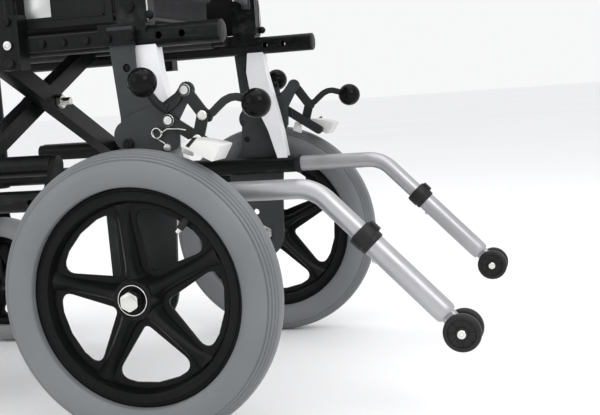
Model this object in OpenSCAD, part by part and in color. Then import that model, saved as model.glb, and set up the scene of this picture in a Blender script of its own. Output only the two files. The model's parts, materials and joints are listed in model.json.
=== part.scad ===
// Folding manual wheelchair with 12.5 in mag rear wheels, toggle brakes and anti-tippers.
// +X points forward, +Y to the seated person's left, +Z up; the floor is at Z = 0.
// Inside the modules, X counts from the rear axle; chair() moves the whole to its own origin.

/* [Rear wheels] */
// Outside diameter of the rear tyre
rear_tyre_d = 317.5; // [290:0.5:340]
// Width of the rear tyre
rear_tyre_w = 48; // [40:1:56]
// Diameter at which the tyre sits on the rim
rear_rim_d = 239; // [215:1:250]
// Width of the rear rim over its flanges
rear_rim_w = 24; // [18:1:30]
// Number of spokes in each mag wheel
spoke_count = 5; // [3:1:7]
// Angle by which the rear wheel's first spoke stands above the forward line, degrees
spoke_turn = 11; // [0:1:72]
// Width of the rear hub
rear_hub_w = 47; // [40:1:52]
// Outside diameter of the rear hub
rear_hub_d = 50; // [40:1:60]
// Diameter of the rear axle bolt
rear_axle_d = 12; // [10:0.5:16]
// From the side rail's centre to the wheel's mid plane
wheel_offset = 56.5; // [52:0.5:70]

/* [Casters] */
// Diameter of the caster wheel
caster_d = 200; // [160:1:202]
// Width of the caster tyre
caster_tyre_w = 44; // [36:1:48]
// From the rear axle to the caster's swivel axis
caster_x = 480; // [470:1:560]
// Distance that the caster wheel trails its swivel axis
caster_trail = 40; // [30:1:45]
// Outside diameter of the caster's bearing housing
housing_d = 38; // [34:1:44]
// Height of the caster's bearing housing
housing_h = 88; // [70:1:90]
// Diameter of the caster stem
stem_d = 20; // [16:1:22]

/* [Side frame] */
// Distance between the centres of the left and right rails
rail_spread = 396; // [360:1:480]
// Outside diameter of the frame tube
rail_d = 25; // [22:0.5:28]
// Wall of the upper rail's tube
rail_wall = 2; // [1.5:0.1:3]
// Height of the upper rail's centre
upper_rail_z = 437; // [425:1:450]
// Height of the lower rail's centre
lower_rail_z = 261; // [255:1:265]
// How far the upper rail reaches behind the axle
rail_tail = 94; // [60:1:120]
// How far the lower rail reaches behind the axle
lower_tail = 66; // [50:1:80]
// From the rear axle to the front post
post_x = 430; // [410:1:434]
// How far the front post stands above the upper rail's centre
post_above = 33; // [25:1:60]
// Thickness of the axle plate
axle_plate_t = 5; // [4:0.5:6]

/* [Folding brace] */
// From the rear axle to the middle of the cross brace
brace_x = 234; // [200:1:260]
// Width of a brace arm, across its length
arm_w = 24; // [18:1:25]
// Thickness of a brace arm, along the chair
arm_t = 20; // [12:1:24]
// Diameter of the seat rails on the brace arms
seat_rail_d = 22; // [19:0.5:24]
// Length of a seat rail
seat_rail_len = 380; // [320:1:384]
// Height of a brace arm's hinge above the lower rail
hinge_rise = 39; // [35:1:50]
// From the side rail's centre inwards to the hinge and the seat rail
hinge_inset = 26; // [26:0.5:34]
// Length of a brace arm's hinge tube
hinge_tube_len = 200; // [140:1:220]
// Diameter of the hinge rods
hinge_rod_d = 14; // [10:0.5:16]
// Diameter of the brace's centre bolt
brace_bolt_d = 10; // [8:0.5:12]

/* [Seat and back] */
// Thickness of the seat cushion
cushion_t = 50; // [30:1:80]
// Thickness of the sling under the cushion
sling_t = 2.7; // [2:0.1:4]
// Thickness of the back upholstery
back_t = 18; // [12:1:30]
// Height of the back upholstery, along the canes
back_h = 420; // [350:1:450]
// Diameter of the back cane's tube
cane_d = 22; // [19:0.5:23]
// Height of the straight part of the back cane
cane_len = 465; // [420:1:520]
// Backward lean of the back canes, in degrees
back_angle = 6; // [0:1:10]
// Radius of the bend into the push handle
cane_bend_r = 50; // [40:1:70]
// Length of the push handle's straight end
handle_len = 128; // [115:1:160]
// Diameter of the hand grip
grip_d = 33; // [28:1:38]
// Length of the hand grip
grip_len = 112; // [90:1:115]

/* [Armrests] */
// From the rear axle to the armrest post
arm_post_x = 142.5; // [138:0.5:150]
// Diameter of the armrest post
arm_post_d = 16; // [14:0.5:18]
// Height of the armrest bar's underside
arm_bar_z = 682; // [640:1:720]
// Length of the arm pad
pad_len = 300; // [240:1:340]
// Width of the arm pad
pad_w = 56; // [45:1:60]
// Thickness of the arm pad
pad_t = 28; // [20:1:35]

/* [Footrests] */
// Diameter of the hanger tube
hanger_d = 22; // [19:0.5:24]
// Slope of the hanger's lower leg, in degrees from level
hanger_angle = 70; // [65:1:75]
// Radius of the hanger's bend
hanger_bend_r = 60; // [50:1:80]
// Height of the hanger's lower end
hanger_foot_z = 128; // [110:1:150]
// Depth of the footplate, along the chair
foot_depth = 140; // [120:1:150]
// Width of the footplate
foot_w = 150; // [120:1:165]
// Thickness of the footplate
foot_t = 6; // [5:0.5:9]

/* [Anti-tippers] */
// Diameter of the anti-tip tube
tip_tube_d = 22; // [18:0.5:22]
// From the rear axle back to the corner of the tube's bend
tip_corner_x = 185; // [160:1:200]
// Slope of the tube's rear leg, in degrees below level
tip_angle = 46; // [35:1:50]
// Distance from the bend's corner to the wheel axle
tip_reach = 218; // [190:1:240]
// Outside diameter of the sliding sleeve
tip_sleeve_d = 25.4; // [25:0.1:28]
// Diameter of the small wheels
tip_wheel_d = 41; // [36:1:50]

/* [Brakes] */
// Diameter of the ball knobs
knob_d = 32; // [26:1:34]
// Thickness of the lever, link and shoe arm
brake_t = 4; // [3:0.5:4]
// Gap between the brake shoe and the tyre when released
shoe_gap = 12.2; // [12:0.1:14]

/* [Fits] */
// Radial clearance of a shaft that turns or slides
run_gap = 0.05; // [0.03:0.01:0.1]
// Gap between pieces that are bolted together
seat_gap = 0.1; // [0.05:0.05:0.3]
// Side gap between pieces that move past each other
side_gap = 0.5; // [0.3:0.1:1]

/* [Hidden] */

$fn = 48;
black = [0.06, 0.06, 0.065];
dark = [0.2, 0.21, 0.22];
grey = [0.55, 0.56, 0.58];
silver = [0.75, 0.75, 0.77];
white = [0.86, 0.87, 0.86];

rear_r = rear_tyre_d / 2;
rear_rim_r = rear_rim_d / 2;
rail_y = rail_spread / 2;
wheel_y = rail_y + wheel_offset;
caster_r = caster_d / 2;
caster_rim_r = caster_r - 28;
hinge_y = rail_y - hinge_inset;
hinge_z = lower_rail_z + hinge_rise;
seat_rail_z = upper_rail_z + 13;
brace_z = (hinge_z + seat_rail_z) / 2;
arm_half = norm([hinge_y, brace_z - hinge_z]);
arm_slope = atan2(brace_z - hinge_z, hinge_y);
seat_z = seat_rail_z + seat_rail_d / 2 + 0.3;
seat_start = 30;

// Layers of flat pieces outside the rails, counted outwards
plate_y = rail_y + rail_d / 2 + seat_gap;
brake_y = plate_y + axle_plate_t + seat_gap;
brake_plate_t = 4;
lever_y = brake_y + brake_plate_t + side_gap;
link_y = lever_y + brake_t + side_gap;
head_y = link_y + brake_t + side_gap;

// Brake pivots as [x, z] from the rear axle's foot on the floor
lever_pivot = [-56.5, 375.6];
shoe_pivot = [-35.4, 344.2];
lever_pin = [-76.1, 347.4];
shoe_pin = [-68.4, 321.9];
shoe_end = [-89, 308];
shoe_angle = 28.5;
shoe_r = rear_r + shoe_gap;

// Back cane
cane_x = 3;
cane_foot_z = upper_rail_z + rail_d / 2 + 3;
// Armrest layers
arm_post_y = plate_y + 12;
guard_y = rail_y + 8.2;
guard_t = 3.5;
// Footrest hinge
swing_x = post_x + 28;
swing_low = 354;
swing_high = upper_rail_z + 1;
hanger_start = swing_x + 47;
hanger_z = upper_rail_z - 13;
hanger_arc_end = [hanger_start + hanger_bend_r * sin(hanger_angle),
    hanger_z - hanger_bend_r * (1 - cos(hanger_angle))];
hanger_foot_x = hanger_arc_end[0] + (hanger_arc_end[1] - hanger_foot_z) / tan(hanger_angle);
foot_hinge_y = rail_y - 21;
foot_hinge_z = hanger_foot_z + 8;
foot_x = max(caster_x + caster_trail + caster_r + 14, hanger_foot_x - 22);
// Anti-tipper
tip_corner = [-tip_corner_x, rail_y, lower_rail_z];
tip_dir = [-cos(tip_angle), 0, -sin(tip_angle)];
tip_bend_r = 45;
tip_tangent = tip_bend_r * tan(tip_angle / 2);
tip_axle = tip_corner + tip_reach * tip_dir;

// The chair's rear and front ends set its origin midway between them
rear_end = tip_axle[0] - tip_wheel_d / 2;
front_end = foot_x + foot_depth;
mid_x = (rear_end + front_end) / 2;

module chair() translate([-mid_x, 0, 0]) children();
module left() chair() children();
module right() chair() mirror([0, 1, 0]) children();

// A round bar from point a to point b
module bar(a, b, d) {
    v = b - a;
    translate(a) rotate([0, acos(v[2] / norm(v)), atan2(v[1], v[0])]) cylinder(h = norm(v), d = d);
}
// A tube bent in the X-Z plane around the local origin, from one angle through another.
// It is drawn a little thinner than the tube, so the straight lengths can run into its ends.
module bend(r, start, angle, d) rotate([90, 0, 0]) rotate(start) rotate_extrude(angle = angle)
    translate([r, 0]) circle(d = d - 0.2);
bend_lap = 2;
// A cylinder along +X or along +Y from its start
module rod_x(x, y, z, len, d) translate([x, y, z]) rotate([0, 90, 0]) cylinder(h = len, d = d);
module rod_y(x, y, z, len, d) translate([x, y, z]) rotate([-90, 0, 0]) cylinder(h = len, d = d);
// A flat plate in the X-Z plane, from y outwards
module plate(y, t) translate([0, y + t, 0]) rotate([90, 0, 0]) linear_extrude(t) children();
// A flat strip through [x, z] points, with a round end a little wider than the strip at each point
module strip(points, w) {
    for (i = [0:len(points) - 2]) {
        v = points[i + 1] - points[i];
        translate(points[i]) rotate(atan2(v[1], v[0])) translate([0, -w / 2]) square([norm(v), w]);
    }
    for (p = points) translate(p) circle(d = w + 0.6);
}
// A body turned around the wheel's axle, whose section is drawn as [radius, width]
module wheel_turn(x, y, z) translate([x, y, z]) rotate([90, 0, 0]) rotate_extrude($fn = 96) children();
module disc(r, w) translate([0, 0, -w / 2]) cylinder(h = w, r = r, $fn = 96);

// Section of a tyre: round outside, flat where it sits on the rim
module tyre_section(r_out, r_rim, w) {
    intersection() {
        translate([r_out - w / 2, 0]) circle(d = w);
        translate([r_rim, -w / 2]) square([r_out - r_rim, w]);
    }
}

// A mag wheel: rim channel with flanges, spokes and hub, drilled for its axle
module mag(r, w, hub_r, hub_w, axle_r, flange, spokes, spoke_w, spoke_t) {
    difference() {
        union() {
            difference() {
                disc(r, w);
                disc(r - 6, w + 2);
            }
            for (s = [-1, 1]) translate([0, 0, s * (w / 2 - 1.5)]) difference() {
                disc(r, 3);
                disc(r - flange, 4);
            }
            for (i = [0:spokes - 1]) rotate(i * 360 / spokes)
                translate([hub_r - 3, -spoke_w / 2, -spoke_t / 2]) cube([r - hub_r, spoke_w, spoke_t]);
            disc(hub_r, hub_w);
        }
        disc(axle_r, hub_w + 2);
    }
}

module upper_rail() color(black) difference() {
    rod_x(-rail_tail, rail_y, upper_rail_z, rail_tail + post_x, rail_d);
    rod_x(-rail_tail - 1, rail_y, upper_rail_z, rail_tail + post_x + 2, rail_d - 2 * rail_wall);
    for (x = [-53, -26]) rod_y(x, rail_y - rail_d, upper_rail_z, 2 * rail_d, 8);
    front_post_tube();
}

module lower_rail() color(black) {
    difference() {
        rod_x(-lower_tail, rail_y, lower_rail_z, lower_tail + post_x, rail_d);
        rod_x(-lower_tail - 1, rail_y, lower_rail_z, lower_tail + post_x + 2, tip_tube_d + 2 * seat_gap);
        for (x = [30, 59, 148]) rod_y(x, rail_y, lower_rail_z, rail_d, 6);
        front_post_tube();
    }
    for (x = hinge_ears()) difference() {
        translate([x, 0, 0]) rotate([90, 0, 90]) linear_extrude(ear_t)
            strip([[hinge_y, hinge_z], [rail_y, lower_rail_z]], rail_d - 3);
        rod_x(x - 1, rail_y, lower_rail_z, ear_t + 2, rail_d);
    }
    rod_x(hinge_ears()[0], hinge_y, hinge_z, hinge_tube_len + 2 * (ear_t + side_gap), hinge_rod_d);
}
ear_t = 6;
function hinge_ears() = [brace_x - hinge_tube_len / 2 - side_gap - ear_t,
    brace_x + hinge_tube_len / 2 + side_gap];

module front_post_tube()
    translate([post_x, rail_y, lower_rail_z - rail_d / 2])
        cylinder(h = upper_rail_z + post_above - lower_rail_z + rail_d / 2, d = rail_d);

housing_z = 232;
module front_post() color(black) {
    difference() {
        union() {
            front_post_tube();
            translate([caster_x, rail_y, housing_z]) cylinder(h = housing_h, d = housing_d);
            translate([post_x, rail_y - 4, housing_z + 18])
                cube([caster_x - post_x, 8, housing_h - 24]);
            for (z = [swing_low - 8, swing_high]) translate([0, 0, z]) linear_extrude(8)
                strip([[post_x, rail_y], [swing_x, rail_y]], hanger_d);
        }
        translate([caster_x, rail_y, housing_z - 1]) cylinder(h = housing_h - 5, r = stem_d / 2 + run_gap);
    }
    translate([swing_x, rail_y, swing_low - 4]) cylinder(h = swing_high - swing_low + 8, d = 10);
}

module axle_plate() color(dark) difference() {
    plate(plate_y, axle_plate_t) {
        polygon([[32, upper_rail_z + 12], [2, upper_rail_z + 12], [2, 400], [-3, 385], [-12, 372],
            [-20, 345], [-30, 300], [-34, lower_rail_z], [-30, 225], [-26, 150],
            [50, 150], [52, lower_rail_z], [30, 282], [24, 349]]);
        translate([12, 156]) circle(r = 38);
    }
    rod_y(0, plate_y - 1, rear_r, axle_plate_t + 2, rear_axle_d + 2 * seat_gap);
    for (p = [[12, 130], [14, 190], [20, 300], [27, 325], [12, 404]])
        rod_y(p[0], plate_y - 1, p[1], axle_plate_t + 2, 9);
}

module strut() color(silver) difference() {
    plate(rail_y - 8, 17) polygon([[2, upper_rail_z], [7, 400], [4, 375], [-6, 345], [-20, 312],
        [-34, lower_rail_z], [-48, lower_rail_z], [-42, 308], [-36, 340], [-29, 372], [-23, 400],
        [-20, upper_rail_z]]);
    for (z = [lower_rail_z, upper_rail_z])
        rod_x(-100, rail_y, z, 200, rail_d + 2 * seat_gap);
}

module brake_plate() color(dark) {
    difference() {
        plate(brake_y, brake_plate_t) {
            polygon([[21, 349], [-10, 360], [-34, 362], lever_pivot + [6, 6], lever_pivot - [7, 2],
                [-46, 345], [-44, 318], [-34, 311], [16, 314]]);
            translate([15, 330]) circle(r = 17);
            translate(lever_pivot) circle(r = 9);
            translate([-34, 320]) circle(r = 9);
        }
        rod_y(15, brake_y - 1, 321, brake_plate_t + 2, 6);
    }
    for (p = [lever_pivot, shoe_pivot]) {
        rod_y(p[0], brake_y + brake_plate_t, p[1], brake_t + 2 * side_gap, 8);
        rod_y(p[0], lever_y + brake_t + side_gap / 2, p[1], 2.2, 12.5);
    }
}

module arm_socket() color(black) {
    block_t = arm_post_y + 9.5 - plate_y;
    difference() {
        translate([arm_post_x - 12.5, plate_y, 411]) cube([25, block_t, 60]);
        translate([arm_post_x, arm_post_y, 400]) cylinder(h = 90, r = arm_post_d / 2 + run_gap);
    }
    translate([36, plate_y, upper_rail_z - 8])
        cube([arm_post_x - 12.5 - 36, axle_plate_t + seat_gap, 16]);
    translate([-2, brake_y, upper_rail_z - 8]) cube([arm_post_x - 12.5 + 2, 5, 16]);
    for (x = [2, 29, 55, 83, 108]) rod_y(x, brake_y + 5, upper_rail_z, 1.6, 8);
    for (z = [418, 438, 464]) rod_y(arm_post_x, plate_y + block_t, z, 1.6, 9);
}

module cane_place() translate([cane_x, rail_y, cane_foot_z]) rotate([0, -back_angle, 0]) children();
module back_post() color(black) {
    difference() {
        translate([-12, rail_y - rail_d / 2 - 1.8, upper_rail_z + 1]) cube([57, rail_d + 1.6, 15]);
        rod_x(-20, rail_y, upper_rail_z, 80, rail_d + 2 * seat_gap);
    }
    translate([-14, rail_y - 11, upper_rail_z + 15]) cube([36, 22, 52]);
    cane_place() {
        cylinder(h = cane_len + bend_lap, d = cane_d);
        translate([-cane_bend_r, 0, cane_len]) bend(cane_bend_r, 0, 90 - back_angle, cane_d);
        handle_place() translate([0, 0, -bend_lap]) cylinder(h = handle_len + bend_lap, d = cane_d);
    }
}
// Start of the straight handle, pointing backwards
module handle_place() translate([-cane_bend_r, 0, cane_len]) rotate([0, -(90 - back_angle), 0])
    translate([cane_bend_r, 0, 0]) children();

module grip() color(black) cane_place() handle_place()
    translate([0, 0, handle_len - grip_len + 3]) difference() {
        cylinder(h = grip_len, d = grip_d);
        translate([0, 0, -1]) cylinder(h = grip_len - 3 + 1 + seat_gap, d = cane_d + 2 * seat_gap);
    }

module rear_axle() color(silver) {
    hub_out = wheel_y + rear_hub_w / 2 + side_gap;
    rod_y(0, rail_y - 4, rear_r, hub_out + 14 - rail_y, rear_axle_d);
    rod_y(0, hub_out, rear_r, 2, 24);
    rod_y_hex(0, hub_out + 2, rear_r, 9, 19);
    rod_y_hex(0, plate_y - 8 - seat_gap, rear_r, 8, 19);
    rod_y(0, brake_y, rear_r, wheel_y - rear_hub_w / 2 - side_gap - brake_y, 18);
}
module rod_y_hex(x, y, z, len, flats) translate([x, y, z]) rotate([-90, 0, 0])
    cylinder(h = len, d = flats / cos(30), $fn = 6);

module rear_tyre() color(grey) wheel_turn(0, wheel_y, rear_r)
    tyre_section(rear_r, rear_rim_r, rear_tyre_w);
module rear_rim() color(black) translate([0, wheel_y, rear_r]) rotate([90, 0, 0]) rotate(spoke_turn)
    mag(rear_rim_r - seat_gap, rear_rim_w, rear_hub_d / 2, rear_hub_w, rear_axle_d / 2 + run_gap,
        15, spoke_count, 20, 16);

// Caster: its wheel trails behind the swivel axis
wheel_cx = caster_x - caster_trail;
fork_gap = caster_tyre_w / 2 + 4;
module caster_fork() color(black) {
    translate([caster_x, rail_y, caster_d + 20]) cylinder(h = housing_z + housing_h - 26 - caster_d, d = stem_d);
    translate([caster_x, rail_y, caster_d + 6]) linear_extrude(20) {
        circle(d = 40);
        translate([-caster_trail, -fork_gap - 4]) square([caster_trail + 14, 2 * (fork_gap + 4)]);
    }
    for (s = [-1, 1]) translate([0, s * (fork_gap + 2) - 2, 0]) plate(rail_y, 4) {
        polygon([[wheel_cx - 15, caster_r], [wheel_cx + 15, caster_r - 4],
            [caster_x + 14, caster_d + 6], [wheel_cx, caster_d + 6]]);
        translate([wheel_cx, caster_r]) circle(r = 15);
    }
    rod_y(wheel_cx, rail_y - fork_gap - 8, caster_r, 2 * fork_gap + 16, 10);
    for (s = [-1, 1]) rod_y(wheel_cx, rail_y + s * (fork_gap + 6) - 2.5, caster_r, 5, 17);
}
module caster_tyre() color(grey) wheel_turn(wheel_cx, rail_y, caster_r)
    tyre_section(caster_r, caster_rim_r, caster_tyre_w);
module caster_rim() color(black) translate([wheel_cx, rail_y, caster_r]) rotate([90, 0, 0])
    mag(caster_rim_r - seat_gap, 26, 17, 2 * fork_gap - 2 * side_gap, 5 + run_gap, 9, spoke_count, 13, 12);

// Along the anti-tipper's rear leg: +Z runs from the bend's corner to the wheel axle
module tip_place() translate(tip_corner) rotate([0, -90 - tip_angle, 0]) children();
module tip_leg(a, b, d) tip_place() translate([0, 0, a]) cylinder(h = b - a, d = d);
module tip_tube() color(silver) {
    rod_x(-tip_corner_x + tip_tangent - bend_lap, rail_y, lower_rail_z,
        tip_corner_x - tip_tangent + bend_lap - 18, tip_tube_d);
    translate([-tip_corner_x + tip_tangent, rail_y, lower_rail_z - tip_bend_r])
        bend(tip_bend_r, 90, tip_angle, tip_tube_d);
    tip_leg(tip_tangent - bend_lap, 150, tip_tube_d);
}
module tip_sleeve() color(silver) {
    tip_place() {
        difference() {
            union() {
                translate([0, 0, 70]) cylinder(h = tip_reach - 92.5, d = tip_sleeve_d);
                translate([0, 0, 68]) cylinder(h = 20, d = tip_sleeve_d + 6);
            }
            translate([0, 0, 60]) cylinder(h = tip_reach - 90, r = tip_tube_d / 2 + run_gap);
        }
        translate([-9, -6, tip_reach - 26]) cube([18, 12, 35]);
    }
    rod_y(tip_axle[0], rail_y - 20, tip_axle[2], 40, 6);
    for (y = [rail_y - 22.4, rail_y + 19.4]) rod_y(tip_axle[0], y, tip_axle[2], 3, 10);
}
module tip_wheels() color(black) for (s = [-1, 1]) difference() {
    rod_y(tip_axle[0], rail_y + s * 13 - 6, tip_axle[2], 12, tip_wheel_d);
    rod_y(tip_axle[0], rail_y + s * 13 - 7, tip_axle[2], 14, 6 + 2 * run_gap);
}

module pin(p, y, shank, head_at) {
    rod_y(p[0], y, p[1], shank, 5);
    rod_y(p[0], head_at, p[1], 2.2, 10.4);
}
module brake_lever() color(black) {
    corner = [-31, 360];
    difference() {
        plate(lever_y, brake_t) {
            strip([corner, lever_pivot, lever_pin], 11);
            strip([lever_pin, [-87, 350], [-99, 361], [-111, 365], [-123, 363], [-137, 356.4]], 8);
        }
        rod_y(lever_pivot[0], lever_y - 1, lever_pivot[1], brake_t + 2, 8 + 2 * run_gap);
    }
    bar([corner[0], lever_y + brake_t / 2, corner[1]], [-20.7, rail_y + 53, 386.3], 7);
    translate([-20.7, rail_y + 54, 386.3]) sphere(d = knob_d);
    translate([-137.2, rail_y + 31, 356.4]) sphere(d = knob_d);
    pin(lever_pin, lever_y + brake_t, brake_t + 2 * side_gap, head_y);
}
module brake_link() color(black) difference() {
    plate(link_y, brake_t) strip([lever_pin, shoe_pin], 13);
    rod_y(lever_pin[0], link_y - 1, lever_pin[1], brake_t + 2, 5 + 2 * run_gap);
    rod_y(shoe_pin[0], link_y - 1, shoe_pin[1], brake_t + 2, 9);
}
module brake_shoe() {
    color(black) {
        difference() {
            plate(lever_y, brake_t) {
                strip([shoe_pivot, shoe_end], 12);
                translate(shoe_pivot) circle(d = 15);
            }
            rod_y(shoe_pivot[0], lever_y - 1, shoe_pivot[1], brake_t + 2, 8 + 2 * run_gap);
        }
        pin(shoe_pin, lever_y + brake_t, brake_t + 2 * side_gap, head_y);
        rod_y(shoe_end[0], lever_y + brake_t, shoe_end[1], 14, 10);
    }
    color(white) translate([0, head_y + 4, rear_r]) rotate([0, -shoe_angle, 0])
        translate([-22, 0, shoe_r]) cube([42, 38, 14]);
}

module armrest() color(black) {
    translate([arm_post_x, arm_post_y, 416]) cylinder(h = arm_bar_z - 415, d = arm_post_d);
    difference() {
        translate([2, arm_post_y - 11, arm_bar_z]) cube([pad_len - 10, 22, 18]);
        translate([60, arm_post_y - 20, arm_bar_z + 5]) cube([50, 40, 8]);
    }
}
module arm_pad() color(black) translate([0, arm_post_y - pad_w / 2 + 2, arm_bar_z + 18 + seat_gap])
    cube([pad_len, pad_w, pad_t]);
module skirt_guard() color(black) difference() {
    plate(guard_y, guard_t) difference() {
        translate([26, 455]) square([260, arm_bar_z + 12 - 455]);
        translate([286, 455]) rotate(45) square([60, 60], center = true);
    }
    for (x = [60, 240]) rod_y(x, guard_y - 1, arm_bar_z - 20, guard_t + 2, 6);
}

module hanger() color(black) {
    difference() {
        union() {
            translate([swing_x, rail_y, swing_low + side_gap])
                cylinder(h = swing_high - swing_low - 2 * side_gap, d = hanger_d);
            rod_x(swing_x, rail_y, hanger_z, hanger_start - swing_x + bend_lap, hanger_d);
        }
        translate([swing_x, rail_y, swing_low - 1])
            cylinder(h = swing_high - swing_low + 2, r = 5 + run_gap);
    }
    translate([hanger_start, rail_y, hanger_z - hanger_bend_r])
        bend(hanger_bend_r, 90 - hanger_angle, hanger_angle, hanger_d);
    translate([hanger_arc_end[0], rail_y, hanger_arc_end[1]]) rotate([0, 90 + hanger_angle, 0])
        translate([0, 0, -bend_lap])
            cylinder(h = (hanger_arc_end[1] - hanger_foot_z) / sin(hanger_angle) + bend_lap, d = hanger_d);
    difference() {
        translate([hanger_foot_x - 13, rail_y - 11, hanger_foot_z - 14]) cube([26, 22, 34]);
        rod_x(hanger_foot_x - 20, foot_hinge_y, foot_hinge_z, 40, 19);
    }
    rod_x(hanger_foot_x - 13, foot_hinge_y, foot_hinge_z, 26, 10);
    translate([hanger_foot_x - 13, foot_hinge_y, foot_hinge_z - 4]) cube([26, rail_y - 10 - foot_hinge_y, 8]);
}
// The footplate is drawn folded up against the hanger
module footplate() color(black) {
    ears = [hanger_foot_x - 13 - side_gap - 10, hanger_foot_x + 13 + side_gap];
    difference() {
        union() {
            for (x = ears) {
                rod_x(x, foot_hinge_y, foot_hinge_z, 10, 18);
                translate([x, foot_hinge_y - foot_t / 2, foot_hinge_z]) cube([10, foot_t, 20]);
            }
            translate([foot_x, foot_hinge_y - foot_t / 2, foot_hinge_z + 14])
                cube([foot_depth, foot_t, foot_w - 14]);
            translate([foot_x, foot_hinge_y + foot_t / 2 - 0.01, foot_hinge_z + foot_w - 6])
                cube([foot_depth, 3, 6]);
        }
        rod_x(ears[0] - 1, foot_hinge_y, foot_hinge_z, 60, 10 + 2 * run_gap);
    }
}

module brace_arm(sign) {
    // sign +1 is hinged at the left and carries the right seat rail; -1 is the other way round
    x = brace_x + sign * (arm_t / 2 + 2) - arm_t / 2;
    color(black) difference() {
        union() {
            rod_x(brace_x - hinge_tube_len / 2, sign * hinge_y, hinge_z, hinge_tube_len, rail_d);
            rod_x(seat_start, -sign * hinge_y, seat_rail_z, seat_rail_len, seat_rail_d);
            translate([x, 0, brace_z]) rotate([90, 0, 90])
                linear_extrude(arm_t) rotate(-sign * arm_slope) square([2 * arm_half, arm_w], center = true);
        }
        rod_x(brace_x - hinge_tube_len / 2 - 1, sign * hinge_y, hinge_z, hinge_tube_len + 2,
            hinge_rod_d + 2 * run_gap);
        rod_x(x - 1, 0, brace_z, arm_t + 2, brace_bolt_d + 2 * (sign > 0 ? seat_gap : run_gap));
    }
}
module brace_bolt() color(silver) {
    len = 2 * arm_t + 30;
    rod_x(brace_x - arm_t - 20, 0, brace_z, len, brace_bolt_d);
    for (x = [brace_x - arm_t - 2 - 7, brace_x + arm_t + 2 + side_gap])
        translate([x, 0, brace_z]) rotate([0, 90, 0]) cylinder(h = 6.5, d = 17 / cos(30), $fn = 6);
}
module seat_sling() color(dark) translate([seat_start, -hinge_y, seat_z])
    cube([seat_rail_len, 2 * hinge_y, sling_t]);
module seat_cushion() color(dark) translate([seat_start + 4, -hinge_y - 2, seat_z + sling_t + seat_gap])
    cube([seat_rail_len - 4, 2 * hinge_y + 4, cushion_t]);
module back_upholstery() color(dark) translate([cane_x, 0, cane_foot_z]) rotate([0, -back_angle, 0])
    translate([-back_t / 2, -(rail_y - cane_d / 2 - 1), 40])
        cube([back_t, 2 * (rail_y - cane_d / 2 - 1), back_h]);

left() upper_rail();  // left_upper_rail
right() upper_rail();  // right_upper_rail
left() lower_rail();  // left_lower_rail
right() lower_rail();  // right_lower_rail
left() front_post();  // left_front_post
right() front_post();  // right_front_post
left() axle_plate();  // left_axle_plate
right() axle_plate();  // right_axle_plate
left() strut();  // left_strut
right() strut();  // right_strut
left() brake_plate();  // left_brake_plate
right() brake_plate();  // right_brake_plate
left() arm_socket();  // left_arm_socket
right() arm_socket();  // right_arm_socket
left() back_post();  // left_back_post
right() back_post();  // right_back_post
left() grip();  // left_grip
right() grip();  // right_grip
left() rear_axle();  // left_rear_axle
right() rear_axle();  // right_rear_axle
left() rear_tyre();  // left_rear_tyre
right() rear_tyre();  // right_rear_tyre
left() rear_rim();  // left_rear_rim
right() rear_rim();  // right_rear_rim
left() caster_fork();  // left_caster_fork
right() caster_fork();  // right_caster_fork
left() caster_tyre();  // left_caster_tyre
right() caster_tyre();  // right_caster_tyre
left() caster_rim();  // left_caster_rim
right() caster_rim();  // right_caster_rim
left() tip_tube();  // left_tip_tube
right() tip_tube();  // right_tip_tube
left() tip_sleeve();  // left_tip_sleeve
right() tip_sleeve();  // right_tip_sleeve
left() tip_wheels();  // left_tip_wheels
right() tip_wheels();  // right_tip_wheels
left() brake_lever();  // left_brake_lever
right() brake_lever();  // right_brake_lever
left() brake_link();  // left_brake_link
right() brake_link();  // right_brake_link
left() brake_shoe();  // left_brake_shoe
right() brake_shoe();  // right_brake_shoe
left() armrest();  // left_armrest
right() armrest();  // right_armrest
left() arm_pad();  // left_arm_pad
right() arm_pad();  // right_arm_pad
left() skirt_guard();  // left_skirt_guard
right() skirt_guard();  // right_skirt_guard
left() hanger();  // left_hanger
right() hanger();  // right_hanger
left() footplate();  // left_footplate
right() footplate();  // right_footplate
chair() brace_arm(1);  // brace_arm_a
chair() brace_arm(-1);  // brace_arm_b
chair() brace_bolt();
chair() seat_sling();
chair() seat_cushion();
chair() back_upholstery();
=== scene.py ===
"""Looks of a folding manual wheelchair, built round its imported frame.

Pieces are drawn in millimetres from the rear axle's foot on the floor, with X forward,
Y to the seated person's left and Z up. Maker.finish brings each into the frame.
"""

import json
import logging
import math
from dataclasses import dataclass
from enum import Enum
from typing import Any, Callable, Iterable, Sequence

import bmesh
import bpy
from mathutils import Matrix, Vector

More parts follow.
